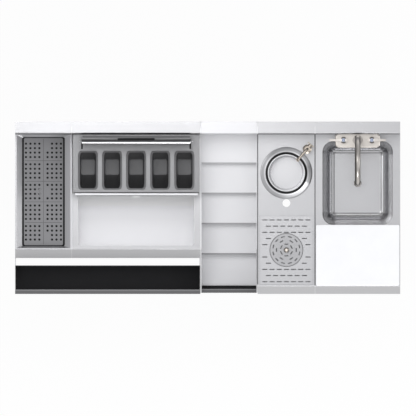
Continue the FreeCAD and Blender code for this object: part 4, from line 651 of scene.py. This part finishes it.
# Dark edges and lighter bands across the spout: painted shade and painted reflections.
SPOUT_NICKEL = shaded_finish(
    "spout_nickel", "X", 516, 552.5,
    [
        (516, 0.10), (518.5, 0.42), (523, 0.42), (525.4, 0.08), (527.5, 0.14), (531, 0.30), (535, 0.55),
        (538, 0.50), (541, 0.28), (543.2, 0.10), (545, 0.40), (550, 0.42), (552.4, 0.12),
    ],
    0.30, WARM_TINT,
)
# Light domes with dark arcs above and below: painted highlight and painted shade.
HANDLE_RINGS = [(0, 0.8), (40, 0.6)]
HANDLE_SECTORS = [
    (-180, 1), (-150, 0.9), (-138, 0.16), (-42, 0.16), (-30, 0.9), (30, 0.9), (42, 0.16), (138, 0.16),
    (150, 0.9), (180, 1),
]
HOT_NICKEL, COLD_NICKEL = (
    radial_tones(f"{side}_handle_nickel", centre, HANDLE_RINGS, HANDLE_SECTORS, 0.3, WARM_TINT)
    for side, centre in (("hot", HOT_CENTRE), ("cold", COLD_CENTRE))
)
INDEX_RINGS = [(0, 0.9), (2.0, 0.9), (2.7, 0.22), (4.4, 0.22), (4.9, 0.8), (6, 0.8)]
HOT_INDEX, COLD_INDEX = (
    radial_tones(f"{side}_index_plastic", centre, INDEX_RINGS, (), 0.3, (0.75, 0.85, 1.1), 0.0)
    for side, centre in (("hot", HOT_CENTRE), ("cold", COLD_CENTRE))
)
# A bright band on the rolled edge, dark just behind it and lightening towards the back: painted highlight and
# painted shade.
LID_STEEL = shaded_finish(
    "lid_steel", "Y", 228, 258,
    [(228, 0.74), (234.6, 0.74), (235.8, 0.05), (240, 0.07), (247, 0.13), (252, 0.19), (258, 0.25)],
    0.34,
)
# Near-black walls with a lighter floor and rim, by height: painted shade on the walls and painted light on
# the floor.
PAN_PLASTIC = shaded_finish(
    "pan_plastic", "Z", 778, 858,
    [
        (778, 0.26), (783.6, 0.24), (785.5, 0.11), (812, 0.07), (852, 0.035), (855.0, 0.03),
        (856.0, 0.12), (858, 0.13),
    ],
    0.42, PLASTIC_TINT, 0.0,
)
# Brighter towards the back, under the tray: painted light.
LINER_STEEL = shaded_finish(
    "liner_steel", "Y", -135, 255, [(-135, 0.76), (-40, 0.84), (10, 1.0), (255, 1.0)], 0.42,
)
# Near-black below the mat's top: painted shade.
BASIN_STEEL = shaded_finish(
    "basin_steel", "Z", 700, 763, [(700, 0.05), (749, 0.04), (751.6, 0.08), (752.6, 0.50), (763, 0.56)],
    0.40,
)
# Darker in the grooves and below the top face: painted shade.
MAT_RUBBER = shaded_finish(
    "mat_rubber", "Z", 740, 751, [(740, 0.05), (747, 0.08), (749.2, 0.13), (749.75, 0.25), (751, 0.25)],
    0.6, PLASTIC_TINT, 0.0,
)
# A dark line at each tier's nose: painted shade. The strip along the front is darker too.
TIER_NOSES = (-165.8, -58.1, 49.6, 157.3)
TIER_STOPS = [(-304, 0.12), (-290, 0.15), (-289, 0.64)]
for nose in TIER_NOSES:
    TIER_STOPS += [(nose - 0.8, 0.66), (nose - 0.2, 0.22), (nose + 3.2, 0.26), (nose + 4.4, 0.66)]
LIP_STEEL = shaded_finish("tier_lip_steel", "Y", -304, 310, TIER_STOPS, 0.42)
RAIL_LIP = shaded_finish(
    "rail_lip_steel", "Y", -308, -200, [(-308, 0.13), (-296, 0.15), (-292, 0.30), (-200, 0.30)],
)

FINISHES = {
    "brushed_steel": DECK_STEEL, "leg_steel": TUBE_STEEL, "warm_nickel": SATIN_NICKEL,
    "black_plastic": BLACK_PLASTIC, "black_rubber": BLACK_RUBBER, "white_board": WHITE_BOARD,
    "white_tab": WHITE_TAB, "foam": FOAM,
}
OWN_FINISHES = {
    "condiment_tray": TRAY_STEEL, "ice_bin_liner": LINER_STEEL, "display_steps": LIP_STEEL,
    "drainer_insert": PUNCHED_STEEL, "rinser_head": RINSER_STEEL, "rinser_nozzle": NOZZLE_NICKEL,
    "speed_rail": RAIL_LIP, "drain_basin": BASIN_STEEL, "drain_mat": MAT_RUBBER,
    "hand_sink_bowl": SINK_STEEL, "dipper_well": WELL_STEEL, "dipper_bowl": DIPPER_STEEL,
    "faucet_spout": SPOUT_NICKEL, "faucet_aerator": AERATOR_NICKEL,
    "faucet_handle_hot": HOT_NICKEL, "faucet_handle_cold": COLD_NICKEL,
    "faucet_index_hot": HOT_INDEX, "faucet_index_cold": COLD_INDEX,
    "back_panel": PANEL_STEEL, "left_end_panel": PANEL_STEEL, "right_end_panel": PANEL_STEEL,
    "display_side_left": PANEL_STEEL, "display_side_right": PANEL_STEEL,
    "dipper_faucet_body": DARK_NICKEL, "dipper_faucet_bonnet": DARK_NICKEL,
    "dipper_faucet_spout": DARK_NICKEL, "dipper_faucet_handle": DARK_NICKEL,
}


def dress_nodes():
    """Gives every CAD node its own finish, or else the plain one of its slot."""
    for part in frame["record"]["subparts"]:
        node = nodes[part["node"]]
        node.data.materials.clear()
        node.data.materials.append(OWN_FINISHES.get(part["node"]) or FINISHES[part["material_slot"]])


# ---------------------------------------------------------------- stage and light


def add_stage():
    """A matt floor that the camera and the metal see as an even, nearly white ground."""
    floor = add_mesh("plane", size=60, location=(0, 0, 0))
    floor.name = "studio_floor"
    material, tree, shader, _ = blank_material("studio_floor")
    shader.inputs["Base Color"].default_value = (0.93, 0.93, 0.93, 1)
    shader.inputs["Roughness"].default_value = 0.9
    output = next(node for node in tree.nodes if node.type == "OUTPUT_MATERIAL")
    glow = tree.nodes.new("ShaderNodeEmission")
    rays = tree.nodes.new("ShaderNodeLightPath")
    seen = math_node(tree, "MAXIMUM", rays.outputs["Is Camera Ray"], rays.outputs["Is Transmission Ray"])
    seen = math_node(tree, "MAXIMUM", seen, rays.outputs["Is Glossy Ray"])
    share = math_node(tree, "MULTIPLY", seen, 0.94)
    blend = tree.nodes.new("ShaderNodeMixShader")
    tree.links.new(share, blend.inputs["Fac"])
    tree.links.new(shader.outputs["BSDF"], blend.inputs[1])
    tree.links.new(glow.outputs["Emission"], blend.inputs[2])
    tree.links.new(blend.outputs["Shader"], output.inputs["Surface"])
    floor.data.materials.append(material)


def add_world():
    """A plain, slightly cool sky."""
    world = bpy.data.worlds.new("studio_world")
    bpy.context.scene.world = world
    world.use_nodes = True
    tree = world.node_tree
    tree.nodes.clear()
    output = tree.nodes.new("ShaderNodeOutputWorld")
    sky = tree.nodes.new("ShaderNodeBackground")
    sky.inputs["Color"].default_value = (0.97, 0.975, 1.0, 1)
    sky.inputs["Strength"].default_value = 0.62
    tree.links.new(sky.outputs["Background"], output.inputs["Surface"])


def add_lamp(name, place, aim, size, power):
    """A rectangular lamp turned towards a point."""
    data = bpy.data.lights.new(name, "AREA")
    data.shape = "RECTANGLE"
    data.size, data.size_y = size
    data.energy = power
    lamp = bpy.data.objects.new(name, data)
    lamp.location = place
    lamp.rotation_euler = (Vector(aim) - Vector(place)).to_track_quat("-Z", "Y").to_euler()
    bpy.context.scene.collection.objects.link(lamp)


# ---------------------------------------------------------------- condiment pans, lid and tray

PANS = 5


def add_pans():
    """Scooped black pans: a wide rim on the tray, a short back wall and a long front slope."""
    low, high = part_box("condiment_pan_1")
    x, y = middle(low.x, high.x), middle(low.y, high.y)
    floor_y = y + 11 * MM
    rim = high.z
    rings = [
        (x, floor_y, 54 * MM, 54 * MM, low.z),
        (x, floor_y, 57 * MM, 57 * MM, low.z + 2 * MM),
        (x, y, 61.4 * MM, 129 * MM, rim - 2.9 * MM),
        (x, y, 70.2 * MM, 137.8 * MM, rim - 2.8 * MM),
        (x, y, 71.2 * MM, 138.6 * MM, rim - 2.0 * MM),
        (x, y, 71.2 * MM, 138.6 * MM, rim - 1.2 * MM),
        (x, y, 70.0 * MM, 137.4 * MM, rim - 0.3 * MM),
        (x, y, 68.8 * MM, 136.4 * MM, rim),
        (x, y, 59.4 * MM, 129.4 * MM, rim),
        (x, y, 57.4 * MM, 127.6 * MM, rim - 0.8 * MM),
        (x, y, 56.4 * MM, 126.4 * MM, rim - 3 * MM),
        (x, floor_y + 0.4 * MM, 51.0 * MM, 57.0 * MM, low.z + 4.6 * MM),
        (x, floor_y + 0.2 * MM, 49.4 * MM, 54.0 * MM, low.z + 2.4 * MM),
        (x, floor_y, 46.0 * MM, 50.0 * MM, low.z + 1.8 * MM),
    ]
    first = smooth(ringed("pan_scoop_1", rings, 7.5 * MM), 50)
    for index in range(1, PANS + 1):
        pan = first
        if index > 1:
            pan = copied(first, f"pan_scoop_{index}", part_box(f"condiment_pan_{index}")[0] - low)
        finish_piece(pan, f"pan_{index}", PAN_PLASTIC, (f"condiment_pan_{index}",))


def add_lid():
    """The open lid: a sheet rolled over at its free edge, with a hand slot and a cheek at each end."""
    low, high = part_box("condiment_lid")
    back = high.y - 1.2 * MM
    top = high.z
    outline = [
        (0, 9), (1.4, 5), (4.6, 2.4), (10, 1.2), (16, 1.6), (20.2, 3.3), (21.6, 3.4),
        (23, 1.7), (25, 1.2), (27, 2.6), (27.8, 6),
    ]
    path = [(back, low.z + 0.5 * MM)] + [(back - y * MM, top - z * MM) for y, z in outline]
    sheet = bent_sheet("lid_shell", low.x + MM, high.x - MM, path, 1.2 * MM)
    middle_x = middle(low.x, high.x)
    slot_half, shade_half = 66 * MM, 68 * MM
    slot = block(
        "lid_slot_cutter", (middle_x - slot_half, back - 16.4 * MM, top - 16 * MM),
        (middle_x + slot_half, back - 8.8 * MM, top + 4 * MM),
    )
    round_edges(slot, lambda point: abs(abs(point.x - middle_x) - slot_half) < SAME_POINT, 2.4 * MM)
    sheet = carve(sheet, [slot])
    cheek_thickness = 1.5 * MM
    cheek = block(
        "lid_cheek_left", (low.x, low.y + 2.2 * MM, low.z + 0.2 * MM),
        (low.x + cheek_thickness, back, top - 3.2 * MM),
    )
    round_edges(cheek, lambda point: point.y < low.y + 3 * MM and point.z > top - 4 * MM, 9 * MM, 5)
    other_cheek = copied(cheek, "lid_cheek_right", (high.x - cheek_thickness - low.x, 0, 0))
    lid = joined("lid_shell", [sheet, cheek, other_cheek])
    finish_piece(smooth(lid, 30), "lid", LID_STEEL, ("condiment_lid",))
    # A black rubber cup under and around the hand slot, a dark piece that stands in for the shade in the
    # slot: painted shade.
    slot_shade = block(
        "lid_slot_shade", (middle_x - shade_half, back - 17.4 * MM, top - 9.5 * MM),
        (middle_x + shade_half, back - 7.6 * MM, top - 3.0 * MM),
    )
    edit(slot_shade)
    done(slot_shade)
    for face in slot_shade.data.polygons:
        face.select = face.normal.z > 0.9
    bpy.ops.object.mode_set(mode="EDIT")
    bpy.ops.mesh.inset(thickness=0.8 * MM, depth=0)
    bpy.ops.mesh.extrude_region_move(TRANSFORM_OT_translate={"value": (0, 0, -6.0 * MM)})
    done(slot_shade)
    finish_piece(slot_shade, "lid", BLACK_RUBBER)


def add_tray_edges():
    """The rolled hem on the tray's front edge in steel lit as a painted highlight, a near-black strip behind
    it as a painted shadow, and near-black ears by the lid's rod as painted shade.
    """
    low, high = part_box("condiment_tray")
    rod_low, rod_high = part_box("lid_hinge_rod")
    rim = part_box("condiment_pan_1")[1].z
    # The hem's steel is far lighter than the deck's: painted highlight.
    path = [(-4.2, -6.0), (-4.4, -1.4), (-3.2, 0.2), (0.0, 0.9), (3.2, 0.2), (4.2, -1.0)]
    hem_y, hem_z = low.y - 2.4 * MM, rim - 1.6 * MM
    hem = bent_sheet(
        "tray_front_hem", low.x + 6.5 * MM, high.x - 5.0 * MM,
        [(hem_y + y * MM, hem_z + z * MM) for y, z in path], 0.5 * MM,
    )
    finish_piece(smooth(hem), "tray", HIGHLIGHT_STEEL)
    base = rim - 3.6 * MM
    ear_x, ear_width = rod_low.x + 5.6 * MM, 6.4 * MM
    # Near-black raised ears: painted shade.
    ear = block(
        "tray_ear_left", (ear_x, rod_low.y - 25 * MM, base),
        (ear_x + ear_width, rod_high.y - 8.6 * MM, base + 4.0 * MM),
    )
    round_edges(ear, lambda point: point.z > base + 2 * MM, 1.6 * MM)
    other_ear = copied(ear, "tray_ear_right", (rod_high.x - 5.6 * MM - ear_width - ear_x, 0, 0))
    for piece in (ear, other_ear):
        finish_piece(smooth(piece, 60), "tray", SHADE_BLACK_STEEL)
    # A near-black strip just behind the hem: painted shadow.
    front_shadow = block(
        "tray_front_shadow", (low.x + 1.5 * MM, low.y + 2.0 * MM, base),
        (high.x - 1.5 * MM, low.y + 4.4 * MM, base + 1.4 * MM),
    )
    round_edges(front_shadow, lambda point: point.z > base + 0.6 * MM, 0.5 * MM, 2)
    finish_piece(smooth(front_shadow, 60), "tray", SHADE_BLACK_STEEL)


# ---------------------------------------------------------------- joints between the sections

DECK_TOP = 762 * MM
SPLASH_LINE = 263 * MM


def add_seams():
    """Ground weld beads where one section of the deck meets the next: two dark, and a bright one between
    drainboard and bin that carries a painted highlight; and a dark line beside the tray, a painted shadow.
    """
    # The drainboard and bin strip is bright, a painted highlight; the other two are dark weld lines.
    joints = (
        ("bead_drainboard_bin", "drainboard_deck", "ice_bin_deck", HIGHLIGHT_STEEL),
        ("bead_display_utility", "display_side_right", "utility_deck", SEAM_AND_SHADOW_STEEL),
        ("bead_utility_sink", "utility_deck", "hand_sink_deck", SEAM_AND_SHADOW_STEEL),
    )
    for name, left, right, finish in joints:
        x = middle(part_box(left)[1].x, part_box(right)[0].x)
        front = max(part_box(left)[0].y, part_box(right)[0].y) + 30 * MM
        bead = block(
            name, (x - 2.2 * MM, front, DECK_TOP - 0.8 * MM),
            (x + 2.2 * MM, SPLASH_LINE, DECK_TOP + 1.0 * MM),
        )
        round_edges(bead, lambda point: point.z > DECK_TOP + 0.5 * MM, 1.2 * MM)
        finish_piece(smooth(bead, 60), "station", finish)
    # A dark line along the tray's left side: painted shadow.
    low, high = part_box("condiment_tray")
    line = block(
        "tray_side_shadow", (low.x - 2.6 * MM, low.y, DECK_TOP - 0.6 * MM),
        (low.x - 0.5 * MM, high.y, DECK_TOP + 1.2 * MM),
    )
    round_edges(line, lambda point: point.z > DECK_TOP + 0.5 * MM, 0.6 * MM, 2)
    finish_piece(smooth(line, 60), "station", SEAM_AND_SHADOW_STEEL)


def add_splash_shadow_lines():
    """A dark rounded strip where the splash turns up from the deck, a painted shadow line, stopping short of
    each section's end.
    """
    runs = (("drainboard_deck", 1.5), ("ice_bin_deck", 1), ("utility_deck", 1), ("hand_sink_deck", 1.5))
    for name, gap in runs:
        low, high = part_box(name)
        shadow_strip = block(
            f"{name}_foot", (low.x + MM, SPLASH_LINE - 2.4 * MM, DECK_TOP - 0.4 * MM),
            (high.x - gap * MM, SPLASH_LINE + 1.9 * MM, DECK_TOP + 3.2 * MM),
        )
        front_edge = SPLASH_LINE - MM
        round_edges(
            shadow_strip, lambda point: point.z > DECK_TOP + 2 * MM and point.y < front_edge, 3.0 * MM, 4
        )
        finish_piece(smooth(shadow_strip, 60), "station", SEAM_AND_SHADOW_STEEL)


# ---------------------------------------------------------------- putting it together

add_camera()
add_stage()
add_world()
add_lamp("softbox", (0.0, 0.1, 3.3), (0.0, 0.05, 0.7), (3.4, 2.6), 9.7)
add_lamp("overhead_back", (-0.32, 0.62, 3.1), (-0.22, 0.25, 0.8), (1.1, 0.8), 8)
add_lamp("front_fill", (0.5, -3.0, 2.4), (0.0, 0.0, 0.6), (1.6, 1.2), 36)
add_lamp("right_fill", (3.0, 0.0, 2.0), (0.0, 0.0, 0.7), (1.6, 1.2), 16)
dress_nodes()
add_pans()
add_tray_edges()
add_lid()
add_seams()
add_splash_shadow_lines()

bpy.context.scene.view_settings.view_transform = "Standard"
